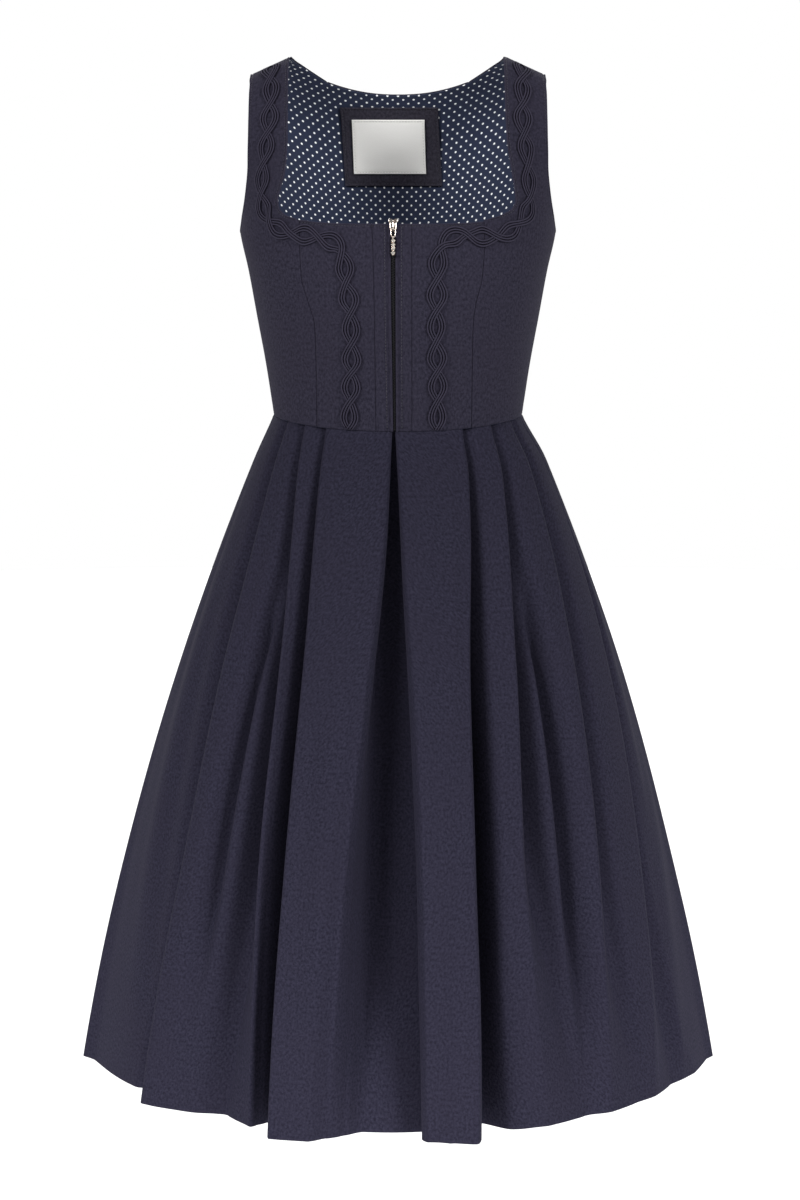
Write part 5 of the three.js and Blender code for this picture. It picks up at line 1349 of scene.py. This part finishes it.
# eye round the ring's lower bar, in the y-z plane
th = np.linspace(0, 2 * math.pi, 29)[:-1]
eye = np.stack([np.zeros(28), PIVOT_Y + 1.33 * np.cos(th), LOW_Z + 1.33 * np.sin(th)], 1)
et = unit(np.roll(eye, -1, 0) - np.roll(eye, 1, 0))
eb = unit(np.cross(et, np.tile([1.0, 0, 0], (28, 1))))
vv = eye[:, None] + np.cos(ph)[None, :, None] * eb[:, None] * 0.38 + np.sin(ph)[None, :, None] * np.array([1.0, 0, 0]) * 0.7
ii = np.arange(28 * sides).reshape(28, sides)
ff = np.stack([ii.ravel(), np.roll(ii, -1, 1).ravel(), np.roll(np.roll(ii, -1, 1), -1, 0).ravel(), np.roll(ii, -1, 0).ravel()], 1)
eye_part = (vv.reshape(-1, 3), ff, vv.reshape(-1, 3)[:, [0, 2]])
wp = PEND_W / 2
bottom_z = top_z - PEND_L
outline = [(-0.9, top_z), (0.9, top_z)]
for k in range(4):
    zc = top_z - 2.3 - 4.1 * k
    for a in np.linspace(52, -52, 7):
        outline.append((wp * math.cos(math.radians(a)), zc + wp * 0.98 * math.sin(math.radians(a))))
outline += [(0.8, bottom_z), (-0.8, bottom_z)]
outline += [(-x, z) for x, z in outline[2:-2][::-1]]
pend_parts = [prism(outline, PIVOT_Y + PEND_T / 2, PIVOT_Y - PEND_T / 2), eye_part]
front_y = PIVOT_Y - PEND_T / 2
for k in range(4):
    zc = top_z - 2.3 - 4.1 * k
    pend_parts.append(spun([(2.02, -0.25), (2.06, 0.25), (1.98, 0.62), (1.80, 0.72), (1.62, 0.45), (1.60, -0.1)], (0, zc), front_y, 24))
    for a in (45, 135, 225, 315):
        q = np.linspace(0, 1, 4)
        cx, cz = math.cos(math.radians(a)), math.sin(math.radians(a))
        rr = 1.9 - 0.5 * q
        p = np.stack([cx * rr, front_y - 0.45 - 0.75 * np.sqrt(q), zc + cz * rr], 1)
        pend_parts.append(tube(p, np.tile([0, -1.0, 0], (4, 1)), 0.26, 0.2, 6, 1))
pendant = hard("pendant_bar", pend_parts, metal, "pendant", "pull_pendant")
for k in range(4):
    zc = top_z - 2.3 - 4.1 * k
    stone = spun([(0.5, -0.05), (1.62, 0.5), (1.68, 0.62), (1.15, 1.12), (0.8, 1.2)], (0, zc), front_y, 8 if k % 2 else 8)
    hard(f"stone_{k + 1}", [stone], stone_mat, "pendant", f"pull_stone_{k + 1}", math.radians(8))

# ---------------------------------------------------------------- braid lengths
print("BRAID", LEN_LEFT, LEN_RIGHT)

# ---------------------------------------------------------------- floor, light and camera
floor_mat = Mat("floor", Roughness=0.9, Base_Color=(0.92, 0.92, 0.92, 1))
floor_mesh = bpy.data.meshes.new("floor")
ring_pts = [(12 * math.cos(a), 12 * math.sin(a), -2.4) for a in np.linspace(0, 2 * math.pi, 97)[:-1]]
floor_mesh.from_pydata(ring_pts, [], [list(range(96))])
floor_mesh.materials.append(floor_mat.m)
floor = bpy.data.objects.new("floor", floor_mesh)
bpy.context.scene.collection.objects.link(floor)

scene = bpy.context.scene
world = bpy.data.worlds.new("studio")
scene.world = world
world.use_nodes = True
sky = world.node_tree
sky.nodes["Background"].inputs[0].default_value = (1.0, 1.0, 1.0, 1)
# seen straight on the studio's wall is white; as a light it's dimmer than the lamps
path = sky.nodes.new("ShaderNodeLightPath")
level = sky.nodes.new("ShaderNodeMapRange")
level.inputs["To Min"].default_value, level.inputs["To Max"].default_value = 0.12, 1.0
sky.links.new(path.outputs["Is Camera Ray"], level.inputs["Value"])
sky.links.new(level.outputs[0], sky.nodes["Background"].inputs[1])
scene.view_settings.view_transform = "Standard"
scene.view_settings.look = "None"


def sun(name, azimuth, elevation, strength, width, colour=(1, 1, 1)):
    """A wide soft light from far off: azimuth 0 is the front, and it grows to the right."""
    d = bpy.data.lights.new(name, "SUN")
    d.energy, d.angle, d.color = strength, math.radians(width), colour
    o = bpy.data.objects.new(name, d)
    a, e = math.radians(azimuth), math.radians(elevation)
    to = Vector((math.sin(a) * math.cos(e), -math.cos(a) * math.cos(e), math.sin(e)))
    o.rotation_euler = to.to_track_quat("Z", "Y").to_euler()
    scene.collection.objects.link(o)


sun("key_left", -46, 30, 2.58, 22)
sun("key_right", 46, 28, 2.44, 22)
sun("back_left", -152, 34, 1.8, 50)
sun("back_right", 149, 32, 1.8, 50)

cam = bpy.data.cameras.new("camera")
cam.sensor_width, cam.lens = 36.0, 93.3
cam.clip_start, cam.clip_end = 0.05, 60
camera = bpy.data.objects.new("camera", cam)
ELEVATION, DISTANCE, TARGET_Z = math.radians(9.5), 3.25, -0.559
camera.location = (0.0021, -DISTANCE * math.cos(ELEVATION), TARGET_Z + DISTANCE * math.sin(ELEVATION))
camera.rotation_euler = (math.pi / 2 - ELEVATION, 0, 0)
scene.collection.objects.link(camera)
scene.camera = camera
